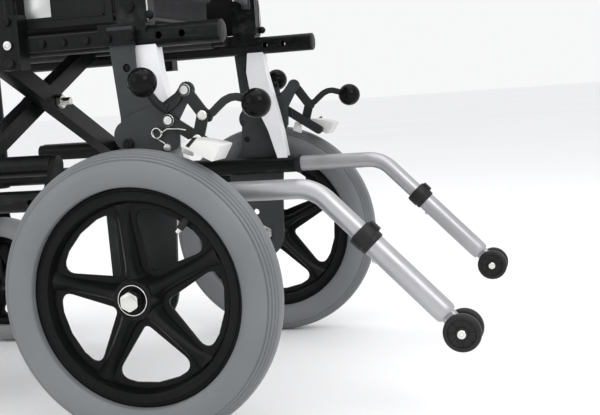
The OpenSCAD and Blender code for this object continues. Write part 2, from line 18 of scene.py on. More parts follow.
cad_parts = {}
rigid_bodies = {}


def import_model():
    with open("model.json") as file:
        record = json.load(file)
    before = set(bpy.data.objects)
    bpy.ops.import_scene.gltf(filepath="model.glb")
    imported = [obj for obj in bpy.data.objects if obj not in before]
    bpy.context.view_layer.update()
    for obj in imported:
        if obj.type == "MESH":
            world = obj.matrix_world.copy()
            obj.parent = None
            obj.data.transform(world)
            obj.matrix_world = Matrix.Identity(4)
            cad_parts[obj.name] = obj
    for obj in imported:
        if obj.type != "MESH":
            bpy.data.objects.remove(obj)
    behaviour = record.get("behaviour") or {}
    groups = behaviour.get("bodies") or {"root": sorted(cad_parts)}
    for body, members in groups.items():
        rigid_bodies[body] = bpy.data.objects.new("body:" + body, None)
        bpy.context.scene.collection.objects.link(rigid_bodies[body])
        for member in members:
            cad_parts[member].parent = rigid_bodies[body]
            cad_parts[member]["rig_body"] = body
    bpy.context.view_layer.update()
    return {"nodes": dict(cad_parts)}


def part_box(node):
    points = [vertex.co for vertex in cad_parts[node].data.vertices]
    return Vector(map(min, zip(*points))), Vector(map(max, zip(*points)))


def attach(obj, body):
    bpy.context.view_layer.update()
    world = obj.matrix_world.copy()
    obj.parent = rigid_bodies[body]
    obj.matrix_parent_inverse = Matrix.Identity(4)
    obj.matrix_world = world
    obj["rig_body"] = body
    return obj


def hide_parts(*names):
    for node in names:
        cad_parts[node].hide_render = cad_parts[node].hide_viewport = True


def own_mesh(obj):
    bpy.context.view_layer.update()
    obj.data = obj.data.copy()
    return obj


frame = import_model()
LOG = logging.getLogger("wheelchair")
_TYRE_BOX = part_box("left_rear_tyre")
AXLE_X = (_TYRE_BOX[0].x + _TYRE_BOX[1].x) / 2
MM = 0.001
# Distances in millimetres: the side rails from the chair's middle, and the rear axle from the floor
RAIL_Y = 198.0
REAR_RADIUS = 158.75
# The angle in degrees from which an edge is shaded sharp and rounded
CREASE = 38.0
OUT = (0, 1, 0)
Colour = tuple[float, float, float]
Point = tuple[float, float, float]
Flat = tuple[float, float]


class Side(Enum):
    """A side of the chair, as its occupant sees it."""

    LEFT = 1
    RIGHT = -1

    def __str__(self) -> str:
        """The side's word in piece and body names."""
        return self.name.lower()


class Slot(Enum):
    """The record's material slots."""

    FRAME = "frame_black"
    PLATE = "plate_grey"
    TUBE = "tube_silver"
    STEEL = "steel"
    TYRE = "tyre_grey"
    CASTER_TYRE = "caster_tyre"
    RIM = "rim_black"
    ROLLER = "roller_black"
    LEVER = "lever_black"
    SHOE = "shoe_white"
    GRIP = "grip_rubber"
    PAD = "pad_vinyl"
    GUARD = "guard_plastic"
    SLING = "sling_fabric"
    SEAT = "seat_fabric"
    BACK = "back_fabric"


class Graph:
    """A material's node tree, written as calls."""

    def __init__(self, name: str) -> None:
        """Starts an empty tree.

        Args:
            name: the material's name.
        """
        self.material = bpy.data.materials.new(name)
        self.material.use_nodes = True
        self.tree = self.material.node_tree
        self.tree.nodes.clear()
        self.place = self.add("ShaderNodeTexCoord").outputs["Object"]

    def add(self, kind: str, settings: dict[str, Any] | None = None,
            **inputs: Any) -> bpy.types.Node:
        """Adds a node.

        Args:
            kind: the node's type.
            settings: properties of the node itself.
            inputs: sockets by name, with _ for a space, as a value or another node's output.

        Returns:
            The new node.
        """
        node = self.tree.nodes.new(kind)
        for key, value in (settings or {}).items():
            setattr(node, key, value)
        for key, value in inputs.items():
            socket = node.inputs[key.replace("_", " ")]
            if isinstance(value, bpy.types.NodeSocket):
                self.tree.links.new(value, socket)
            else:
                socket.default_value = value
        return node

    def noise(self, scale: float, detail: float = 3.0, at: Any = None) -> Any:
        """A noise pattern's height, from 0 to 1.

        Args:
            scale: how many patches there are in a metre.
            detail: how many finer layers it has.
            at: the coordinates, or None for the object's own.

        Returns:
            The output socket.
        """
        return self.add("ShaderNodeTexNoise", Vector=at or self.place, Scale=scale,
                        Detail=detail).outputs["Fac"]

    def ramp(self, value: Any, low: float, high: float, to_low: float = 0.0,
             to_high: float = 1.0) -> Any:
        """Maps a range of a value onto another, held at both ends.

        Args:
            value: the socket to map.
            low: the range's start.
            high: the range's end.
            to_low: the result at its start.
            to_high: the result at its end.

        Returns:
            The output socket.
        """
        node = self.add("ShaderNodeMapRange", Value=value)
        for key, number in (("From Min", low), ("From Max", high), ("To Min", to_low),
                            ("To Max", to_high)):
            node.inputs[key].default_value = number
        return node.outputs["Result"]

    def math(self, operation: str, first: Any, second: Any = 0.0) -> Any:
        """One step of arithmetic on two values or sockets, as a socket."""
        node = self.add("ShaderNodeMath", {"operation": operation})
        for socket, value in zip(node.inputs, (first, second)):
            if isinstance(value, bpy.types.NodeSocket):
                self.tree.links.new(value, socket)
            else:
                socket.default_value = value
        return node.outputs[0]

    def blend(self, share: Any, first: Any, second: Any) -> Any:
        """Mixes two colours, given as colours or sockets, by a share from 0 to 1."""
        node = self.add("ShaderNodeMix", {"data_type": "RGBA"})
        self.tree.links.new(share, node.inputs[0])
        for index, value in ((6, first), (7, second)):
            if isinstance(value, bpy.types.NodeSocket):
                self.tree.links.new(value, node.inputs[index])
            else:
                node.inputs[index].default_value = (*value, 1.0)
        return node.outputs[2]


@dataclass(frozen=True)
class Finish:
    """A surface: its colour and how that drifts, its gloss and its fine relief."""

    name: str
    colour: Colour
    drift: Colour
    roughness: float
    metallic: float = 0.0
    sheen: float = 0.0
    drift_scale: float = 14.0
    gloss_spread: float = 0.08
    grain_scale: float = 900.0
    grain_depth: float = 0.00004
    # How much paler sharp edges get: part painted highlight along edges, part rubbed paint
    wear: float = 0.0
    specular: float = 0.5

    def relief(self, graph: Graph) -> Any:
        """The height of the fine relief, from 0 to 1, as a socket."""
        return graph.noise(self.grain_scale, 2.0)

    def tint(self, graph: Graph, height: Any) -> Any:
        """The base colour as a socket: two tones in soft patches, paler along edges as a painted
        highlight and as rubbed paint.

        Args:
            graph: the material's tree.
            height: the relief, for patterns that colour it.

        Returns:
            The colour socket.
        """
        patches = graph.ramp(graph.noise(self.drift_scale), 0.35, 0.65)
        tone = graph.blend(patches, self.colour, self.drift)
        if not self.wear:
            return tone
        # Painted highlight along sharp edges, broken into noisy patches like rubbed paint
        edge = graph.ramp(graph.add("ShaderNodeNewGeometry").outputs["Pointiness"], 0.53, 0.62)
        edge_light_and_rub_patches = graph.ramp(graph.noise(60.0), 0.45, 0.7, 0.0, self.wear)
        edge_light_and_rub_mask = graph.math("MULTIPLY", edge, edge_light_and_rub_patches)
        return graph.blend(edge_light_and_rub_mask, tone, tuple(min(1.0, c * 3 + 0.05) for c in self.colour))

    def material(self) -> bpy.types.Material:
        """The finish's material, made the first time that it is asked for."""
        made = bpy.data.materials.get(self.name)
        if made:
            return made
        graph = Graph(self.name)
        height = self.relief(graph)
        bump = graph.add("ShaderNodeBump", Height=height, Strength=1.0, Distance=self.grain_depth)
        low = max(0.02, self.roughness - self.gloss_spread)
        high = min(1.0, self.roughness + self.gloss_spread)
        gloss = graph.ramp(graph.noise(self.drift_scale * 4), 0.3, 0.7, low, high)
        shader = graph.add(
            "ShaderNodeBsdfPrincipled",
            Base_Color=self.tint(graph, height),
            Roughness=gloss,
            Metallic=self.metallic,
            Specular_IOR_Level=self.specular,
            Sheen_Weight=self.sheen,
            Normal=bump.outputs["Normal"],
        )
        graph.add("ShaderNodeOutputMaterial", Surface=shader.outputs[0])
        return graph.material


@dataclass(frozen=True)
class Brushed(Finish):
    """Metal with fine lines along one axis of the chair."""

    stretch: Point = (0.03, 1.0, 1.0)

    def relief(self, graph: Graph) -> Any:
        """Noise that is drawn out along the grain."""
        drawn = graph.add("ShaderNodeMapping", Vector=graph.place, Scale=self.stretch)
        return graph.noise(self.grain_scale, 3.0, drawn.outputs[0])


@dataclass(frozen=True)
class Pebbled(Finish):
    """Moulded plastic or vinyl with a skin of small raised cells."""

    def relief(self, graph: Graph) -> Any:
        """Rounded cells of uneven size."""
        warped = graph.add("ShaderNodeVectorMath", {"operation": "ADD"})
        graph.tree.links.new(graph.place, warped.inputs[0])
        shift = graph.add("ShaderNodeTexNoise", Vector=graph.place, Scale=self.grain_scale / 3)
        small = graph.add("ShaderNodeVectorMath", {"operation": "SCALE"},
                          Scale=0.6 / self.grain_scale)
        graph.tree.links.new(shift.outputs["Color"], small.inputs[0])
        graph.tree.links.new(small.outputs[0], warped.inputs[1])
        cells = graph.add("ShaderNodeTexVoronoi", Vector=warped.outputs[0], Scale=self.grain_scale)
        return graph.ramp(cells.outputs["Distance"], 0.0, 0.6, 1.0, 0.0)


@dataclass(frozen=True)
class Woven(Finish):
    """Cloth of crossing threads, with painted shade in the gaps between them."""

    # The colour in the low gaps between threads: painted shade
    across: Colour = (0.02, 0.02, 0.022)

    def threads(self, graph: Graph, axis: str) -> Any:
        """One set of threads across an axis, as heights."""
        wave = graph.add(
            "ShaderNodeTexWave",
            {"wave_type": "BANDS", "bands_direction": axis, "wave_profile": "SIN"},
            Vector=graph.place,
            Scale=self.grain_scale,
            Distortion=0.6,
            Detail=1.0,
        )
        wave.inputs["Detail Scale"].default_value = 1.5
        return wave.outputs["Fac"]

    def relief(self, graph: Graph) -> Any:
        """Two sets of threads over each other, whatever way the cloth faces."""
        sets = [self.threads(graph, axis) for axis in "XYZ"]
        return graph.math("MAXIMUM", graph.math("MULTIPLY", sets[0], sets[1]),
                          graph.math("MULTIPLY", sets[1], sets[2]))

    def tint(self, graph: Graph, height: Any) -> Any:
        """Threads in the cloth's colour over painted shade in the gaps."""
        patches = Finish.tint(self, graph, height)
        return graph.blend(graph.ramp(height, 0.0, 0.45), self.across, patches)


PAINT = Finish("paint_black", (0.004, 0.0043, 0.0046), (0.006, 0.0064, 0.0068), 0.32, specular=0.13,
               grain_scale=420.0, grain_depth=0.00003, gloss_spread=0.05, wear=0.35)
TEXTURED = Finish("powder_dark_grey", (0.03, 0.034, 0.0345), (0.038, 0.0425, 0.043), 0.52,
                  specular=0.25, grain_scale=1500.0, grain_depth=0.00012, wear=0.35)
LEVER_COAT = Finish("powder_charcoal", (0.014, 0.015, 0.0155), (0.02, 0.0215, 0.022), 0.44,
                    specular=0.22, grain_scale=1300.0, grain_depth=0.00008, wear=0.4)
SATIN = Brushed("tube_satin_silver", (0.38, 0.38, 0.395), (0.43, 0.43, 0.445), 0.38, metallic=0.7,
                grain_scale=700.0, grain_depth=0.00001, gloss_spread=0.05)
# The strut's silver is much paler than the tube silver to make up for the shade that it stands in:
# painted light
STRUT_BRIGHTENED_FOR_SHADE = Finish("strut_silver", (0.78, 0.78, 0.8), (0.85, 0.85, 0.87), 0.42, metallic=0.15,
               grain_scale=1300.0, grain_depth=0.00004)
BRIGHT = Brushed("steel_bright", (0.62, 0.62, 0.6), (0.72, 0.72, 0.7), 0.22, metallic=1.0,
                 grain_scale=900.0, grain_depth=0.00001, stretch=(1.0, 1.0, 0.1))
RIVET = Finish("rivet_zinc", (0.66, 0.66, 0.65), (0.56, 0.56, 0.55), 0.38, metallic=0.7,
               grain_scale=1200.0, grain_depth=0.00003)
TYRE = Finish("tyre_grey_rubber", (0.13, 0.138, 0.145), (0.155, 0.164, 0.171), 0.5, sheen=0.05,
              drift_scale=9.0, grain_scale=1400.0, grain_depth=0.00007)
CASTER_TYRE = Finish("caster_grey_rubber", (0.2, 0.206, 0.212), (0.235, 0.242, 0.248), 0.6,
                     sheen=0.1, drift_scale=9.0, grain_scale=1400.0, grain_depth=0.00006)
RIM = Finish("rim_black_nylon", (0.004, 0.0043, 0.0045), (0.006, 0.0063, 0.0065), 0.36,
             specular=0.1, grain_scale=1000.0, grain_depth=0.00005, wear=0.25)
GLOSS = Finish("knob_gloss_black", (0.004, 0.004, 0.0042), (0.006, 0.006, 0.0062), 0.08,
               specular=0.09, grain_scale=200.0, grain_depth=0.000004, gloss_spread=0.02)
ROLLER = Finish("roller_black_nylon", (0.007, 0.0072, 0.0075), (0.012, 0.012, 0.0125), 0.46,
                specular=0.25, grain_scale=1100.0, grain_depth=0.00006, wear=0.3)
SHOE = Finish("shoe_off_white", (0.6, 0.6, 0.585), (0.68, 0.68, 0.67), 0.4, grain_scale=900.0,
              grain_depth=0.00004)
RUBBER = Pebbled("grip_black_rubber", (0.013, 0.013, 0.0135), (0.02, 0.02, 0.0205), 0.72,
                 specular=0.25, grain_scale=900.0, grain_depth=0.0001)
VINYL = Pebbled("pad_black_vinyl", (0.014, 0.0142, 0.015), (0.02, 0.0205, 0.021), 0.45,
                specular=0.3, grain_scale=620.0, grain_depth=0.00012)
GUARD = Pebbled("guard_black_plastic", (0.008, 0.0084, 0.0088), (0.012, 0.0124, 0.0128), 0.5,
                specular=0.12, grain_scale=800.0, grain_depth=0.00008)
SLING = Woven("sling_black_nylon", (0.02, 0.0205, 0.022), (0.026, 0.027, 0.029), 0.62, sheen=0.1,
              specular=0.2, grain_scale=150.0, grain_depth=0.00012, across=(0.008, 0.008, 0.009))
SEAT_CLOTH = Woven("cushion_black_cloth", (0.028, 0.029, 0.031), (0.036, 0.037, 0.04), 0.78,
                   sheen=0.12, specular=0.2, grain_scale=120.0, grain_depth=0.0002,
                   across=(0.01, 0.01, 0.011))
BACK_CLOTH = Woven("back_dark_grey_cloth", (0.042, 0.046, 0.048), (0.052, 0.056, 0.059), 0.74,
                   sheen=0.1, specular=0.2, grain_scale=120.0, grain_depth=0.0002,
                   across=(0.02, 0.021, 0.022))
PIPING = Woven("piping_black", (0.014, 0.014, 0.015), (0.02, 0.02, 0.021), 0.6, sheen=0.2,
               grain_scale=260.0, grain_depth=0.0001, across=(0.006, 0.006, 0.0065))
LABEL = Brushed("label_silver_foil", (0.5, 0.51, 0.51), (0.58, 0.585, 0.58), 0.34, metallic=0.8,
                grain_scale=500.0, grain_depth=0.000006)


def towards(direction: Sequence[float]) -> Matrix:
    """The rotation that turns +Z towards a direction."""
    return Vector((0, 0, 1)).rotation_difference(Vector(direction)).to_matrix().to_4x4()


def at(x: float, y: float, z: float, direction: Sequence[float] = (0, 0, 1)) -> Matrix:
    """The placing of a shape drawn along +Z: its origin, and where its +Z points."""
    return Matrix.Translation((x, y, z)) @ towards(direction)


def on_wheel(x: float, y: float, z: float) -> Matrix:
    """The placing of a shape turned round +Z, so that it turns round the chair's +Y axis."""
    return Matrix.Translation((x, y, z)) @ Matrix.Rotation(-math.pi / 2, 4, "X")


def on_cane(y: float) -> Matrix:
    """The placing of shapes drawn upright on the leaning canes, y from the middle."""
    foot_x, foot_z, lean = 3, 452.5, 6.0
    return Matrix.Translation((foot_x, y, foot_z)) @ Matrix.Rotation(math.radians(-lean), 4, "Y")


def mirrored(upper: Sequence[Flat]) -> list[Flat]:
    """A section's upper half followed by its mirror image."""
    return [*upper, *((r, -w) for r, w in reversed(upper))]


def new_verts(grown: Iterable[Any]) -> list[bmesh.types.BMVert]:
    """The vertices among what an operator made."""
    return [g for g in grown if isinstance(g, bmesh.types.BMVert)]


def sharp_among(edges: Iterable[Any]) -> list[Any]:
    """The edges between two faces that turn by more than a radian."""
    whole = [e for e in edges if e.is_valid and len(e.link_faces) == 2]
    return [e for e in whole if e.calc_face_angle(0) > 1.0]


def thicken(part: bmesh.types.BMesh, step: Sequence[float]) -> list[Any]:
    """Draws a flat shape out by a step, keeping its first face, and returns what is new."""
    grown = bmesh.ops.extrude_face_region(part, geom=part.faces[:], use_keep_orig=True)["geom"]
    bmesh.ops.translate(part, vec=step, verts=new_verts(grown))
    return grown


def draw_out(part: bmesh.types.BMesh, line: Sequence[Any]) -> tuple[list[Any], list[Any]]:
    """Extrudes a line of edges without moving it, and returns the new vertices and edges."""
    verts = new_verts(bmesh.ops.extrude_edge_only(part, edges=line)["geom"])
    chosen = set(verts)
    return verts, [e for e in part.edges if e.verts[0] in chosen and e.verts[1] in chosen]


def bevel(part: bmesh.types.BMesh, geom: Sequence[Any], offset: float, segments: int,
          kind: str = "EDGES", clamp: bool = False) -> None:
    """Rounds a shape's edges or corners.

    Args:
        part: the shape.
        geom: the edges or vertices to round.
        offset: how far the rounding reaches.
        segments: how many facets it gets.
        kind: EDGES or VERTICES.
        clamp: whether the rounding stops where it would overlap another.
    """
    bmesh.ops.bevel(part, geom=geom, offset=offset, segments=segments, profile=0.5, affect=kind,
                    material=-1, clamp_overlap=clamp)


class Maker:
    """One piece in the making, in millimetres from the rear axle's foot."""

    def __init__(self) -> None:
        """Starts with nothing."""
        self.bm = bmesh.new()

    def take(self, part: bmesh.types.BMesh, place: Matrix) -> None:
        """Adds a finished shape to the piece.

        Args:
            part: the shape, which is used up.
            place: where it goes.
        """
        bmesh.ops.transform(part, matrix=place, verts=part.verts)
        bmesh.ops.recalc_face_normals(part, faces=part.faces)
        carrier = bpy.data.meshes.new("carrier")
        part.to_mesh(carrier)
        part.free()
        self.bm.from_mesh(carrier)
        bpy.data.meshes.remove(carrier)

    def lathe(self, profile: Sequence[Flat], place: Matrix, steps: int = 96,
              ring: bool = True) -> None:
        """Turns a section round +Z.

        Args:
            profile: points as (radius, height).
            place: where the turned shape goes.
            steps: how many facets go round.
            ring: whether the section closes on itself, rather than ending on the axis.
        """
        part = bmesh.new()
        verts = [part.verts.new((r, 0, h)) for r, h in profile]
        pairs = list(zip(verts, verts[1:])) + ([(verts[-1], verts[0])] if ring else [])
        edges = [part.edges.new(pair) for pair in pairs]
        bmesh.ops.spin(part, geom=verts + edges, cent=(0, 0, 0), axis=(0, 0, 1), dvec=(0, 0, 0),
                       angle=math.tau, steps=steps, use_merge=True)
        bmesh.ops.remove_doubles(part, verts=part.verts, dist=1e-3)
        self.take(part, place)

    def rod(self, start: Sequence[float], end: Sequence[float], radius: float, soft: float = 0.5,
            steps: int = 32) -> None:
        """A round bar with softened ends."""
        along = Vector(end) - Vector(start)
        length = along.length
        profile = [(0, 0), (radius - soft, 0), (radius, soft), (radius, length - soft),
                   (radius - soft, length), (0, length)]
        self.lathe(profile, at(*start, along), steps, ring=False)

    def cap(self, centre: Sequence[float], direction: Sequence[float], radius: float, height: float,
            steps: int = 24) -> None:
        """A low domed head, such as a rivet or an end plug, on a face that looks in a direction."""
        profile = [(0, 0), (radius, 0), (radius, height * 0.35), (radius * 0.86, height * 0.75),
                   (radius * 0.55, height * 0.95), (0, height)]
        self.lathe(profile, at(*centre, direction), steps, ring=False)

    def socket_screw(self, centre: Sequence[float], direction: Sequence[float], radius: float,
                     height: float) -> None:
        """A round screw head with a hexagonal socket sunk in its face."""
        part = bmesh.new()
        bmesh.ops.create_circle(part, cap_ends=True, radius=radius * 0.5, segments=6)
        face = part.faces[:][0]
        rim = bmesh.ops.extrude_face_region(part, geom=[face])
        bmesh.ops.translate(part, vec=(0, 0, -height * 0.5), verts=new_verts(rim["geom"]))
        self.take(part, at(*centre, direction) @ Matrix.Translation((0, 0, height * 0.92)))
        profile = [(radius * 0.5, height * 0.3), (radius * 0.5, height), (radius * 0.85, height),
                   (radius, height * 0.8), (radius, 0), (0, 0), (0, height * 0.3)]
        self.lathe(profile, at(*centre, direction), 24, ring=False)

    def ball(self, centre: Sequence[float], radius: float) -> None:
        """A ball."""
        part = bmesh.new()
        bmesh.ops.create_uvsphere(part, u_segments=48, v_segments=24, radius=radius)
        self.take(part, Matrix.Translation(centre))

    def nut(self, centre: Sequence[float], direction: Sequence[float], flats: float,
            height: float) -> None:
        """A hexagonal nut with chamfered corners."""
        part = bmesh.new()
        bmesh.ops.create_cone(part, cap_ends=True, segments=6, radius1=flats / math.sqrt(3),
                              radius2=flats / math.sqrt(3), depth=height)
        corners = [v for v in part.verts if v.co.z > 0]
        bevel(part, corners, flats * 0.07, 1, "VERTICES")
        self.take(part, at(*centre, direction) @ Matrix.Translation((0, 0, height / 2)))

    def block(self, low: Sequence[float], high: Sequence[float], soft: float = 1.0,
              place: Matrix | None = None, segments: int = 2) -> None:
        """A box between two corners with softened edges."""
        part = bmesh.new()
        size = Vector(high) - Vector(low)
        bmesh.ops.create_cube(part, size=1.0)
        bmesh.ops.scale(part, vec=size, verts=part.verts)
        bmesh.ops.translate(part, vec=(Vector(low) + Vector(high)) / 2, verts=part.verts)
        if soft:
            bevel(part, part.edges[:], soft, segments)
        self.take(part, place or Matrix.Identity(4))

    def tube(self, path: Sequence[Sequence[float]], radius: float | Callable[[float], float],
             sides: int = 20, closed: bool = False) -> None:
        """Sweeps a circle along a path.

        Args:
            path: the points that it follows.
            radius: its radius, or a function of how far along the path it is, from 0 to 1.
            sides: how many facets go round.
            closed: whether the path joins its own start.
        """
        points = [Vector(p) for p in path]
        count = len(points)
        size = radius if callable(radius) else (lambda share: radius)
        part = bmesh.new()
        heading = points[1] - points[-1] if closed else points[1] - points[0]
        bmesh.ops.create_circle(part, cap_ends=False, radius=size(0.0), segments=sides,
                                matrix=Matrix.Translation(points[0]) @ towards(heading))
        first = ring = part.edges[:]
        for i in range(1, count):
            after = points[(i + 1) % count] if closed or i + 1 < count else points[i]
            turned = after - points[i - 1]
            verts, ring = draw_out(part, ring)
            turn = heading.rotation_difference(turned).to_matrix().to_4x4()
            scale = Matrix.Scale(size(i / (count - 1)) / size((i - 1) / (count - 1)), 4)
            move = Matrix.Translation(points[i]) @ turn @ scale @ Matrix.Translation(-points[i - 1])
            bmesh.ops.transform(part, matrix=move, verts=verts)
            heading = turned
        if closed:
            bmesh.ops.bridge_loops(part, edges=first + ring)
        else:
            bmesh.ops.holes_fill(part, edges=part.edges[:], sides=0)
        self.take(part, Matrix.Identity(4))

    def plate(self, outline: Sequence[Flat], y: float, thickness: float,
              holes: Iterable[Point] = (), rounding: float = 0.0, soft: float = 0.5) -> None:
        """A flat plate that stands along the chair.

        Args:
            outline: its corners as (x, z).
            y: its inner face.
            thickness: how thick it is.
            holes: round holes as (x, z, radius).
            rounding: how far its corners are rounded.
            soft: how far its long edges are softened.
        """
        part = bmesh.new()
        corners = [part.verts.new((x, y, z)) for x, z in outline]
        part.faces.new(corners)
        if rounding:
            bevel(part, corners, rounding, 5, "VERTICES")
        bmesh.ops.delete(part, geom=part.faces[:], context="FACES_ONLY")
        for x, z, radius in holes:
            bmesh.ops.create_circle(part, cap_ends=False, radius=radius, segments=24,
                                    matrix=on_wheel(x, y, z))
        bmesh.ops.triangle_fill(part, use_beauty=True, use_dissolve=False, edges=part.edges[:])
        rim = [e for e in part.edges if len(e.link_faces) == 1]
        grown = thicken(part, (0, thickness, 0))
        bmesh.ops.recalc_face_normals(part, faces=part.faces)
        if soft:
            far = [g for g in grown if isinstance(g, bmesh.types.BMEdge)]
            bevel(part, sharp_among(rim + far), soft, 2, clamp=True)
        self.take(part, Matrix.Identity(4))

    def mesh(self, name: str, side: Side) -> bpy.types.Mesh:
        """The piece's mesh in metres and in its place, which uses the maker up."""
        bmesh.ops.scale(self.bm, vec=(MM, MM * side.value, MM), verts=self.bm.verts)
        bmesh.ops.translate(self.bm, vec=(AXLE_X, 0, 0), verts=self.bm.verts)
        if side is Side.RIGHT:
            bmesh.ops.reverse_faces(self.bm, faces=self.bm.faces)
        mesh = bpy.data.meshes.new(name)
        self.bm.to_mesh(mesh)
        self.bm.free()
        return mesh

    def finish(self, name: str, body: str, finish: Finish, slot: Slot, side: Side = Side.LEFT,
               replaces: Sequence[str] = (), crease: float = CREASE) -> bpy.types.Object:
        """Makes the object, in the frame and riding on its body.

        Args:
            name: the piece's name.
            body: the CAD body that it rides on.
            finish: its surface.
            slot: the record's slot for it; not used.
            side: the side of the chair; shapes are drawn for the left and mirrored for the right.
            replaces: the CAD nodes that it stands for.
            crease: the angle in degrees from which an edge is shaded sharp.

        Returns:
            The object.
        """
        return dress(bpy.data.objects.new(name, self.mesh(name, side)), body, finish,
                     replaces, crease)


def dress(piece: bpy.types.Object, body: str, finish: Finish,
          replaces: Sequence[str] = (), crease: float = CREASE) -> bpy.types.Object:
    """Gives a new mesh object its shading, finish and body.

    Args:
        piece: the object, not yet in the scene.
        body: the CAD body that it rides on.
        finish: its surface.
        replaces: the CAD nodes that it stands for.
        crease: the angle in degrees from which an edge is shaded sharp.

    Returns:
        The same object.
    """
    bpy.context.scene.collection.objects.link(piece)
    piece.data.shade_smooth()
    piece.data.set_sharp_from_angle(angle=math.radians(crease))
    piece.data.materials.clear()
    piece.data.materials.append(finish.material())
    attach(piece, body)
    if replaces:
        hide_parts(*replaces)
    LOG.info("%s rides on %s", piece.name, body)
    return piece


def soften(node: str, finish: Finish, soft: float = 0.6, segments: int = 2) -> None:
    """Stands a copy of a CAD node in its place, with its edges rounded.

    Args:
        node: the CAD node.
        finish: the copy's surface.
        soft: how far its edges are rounded, in millimetres.
        segments: how many facets each edge gets.
    """
    source = frame["nodes"][node]
    bm = bmesh.new()
    bm.from_mesh(source.data)
    bmesh.ops.remove_doubles(bm, verts=bm.verts, dist=2e-6)
    bmesh.ops.dissolve_limit(bm, angle_limit=math.radians(1.0), verts=bm.verts, edges=bm.edges)
    mesh = bpy.data.meshes.new(node + "_shown")
    bm.to_mesh(mesh)
    bm.free()
    piece = dress(bpy.data.objects.new(node + "_shown", mesh), source["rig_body"], finish,
                  (node,))
    rounded = piece.modifiers.new("rounded_edges", "BEVEL")
    rounded.width = soft * MM
    rounded.segments = segments
    rounded.limit_method = "ANGLE"
    rounded.angle_limit = math.radians(CREASE)
    rounded.harden_normals = True


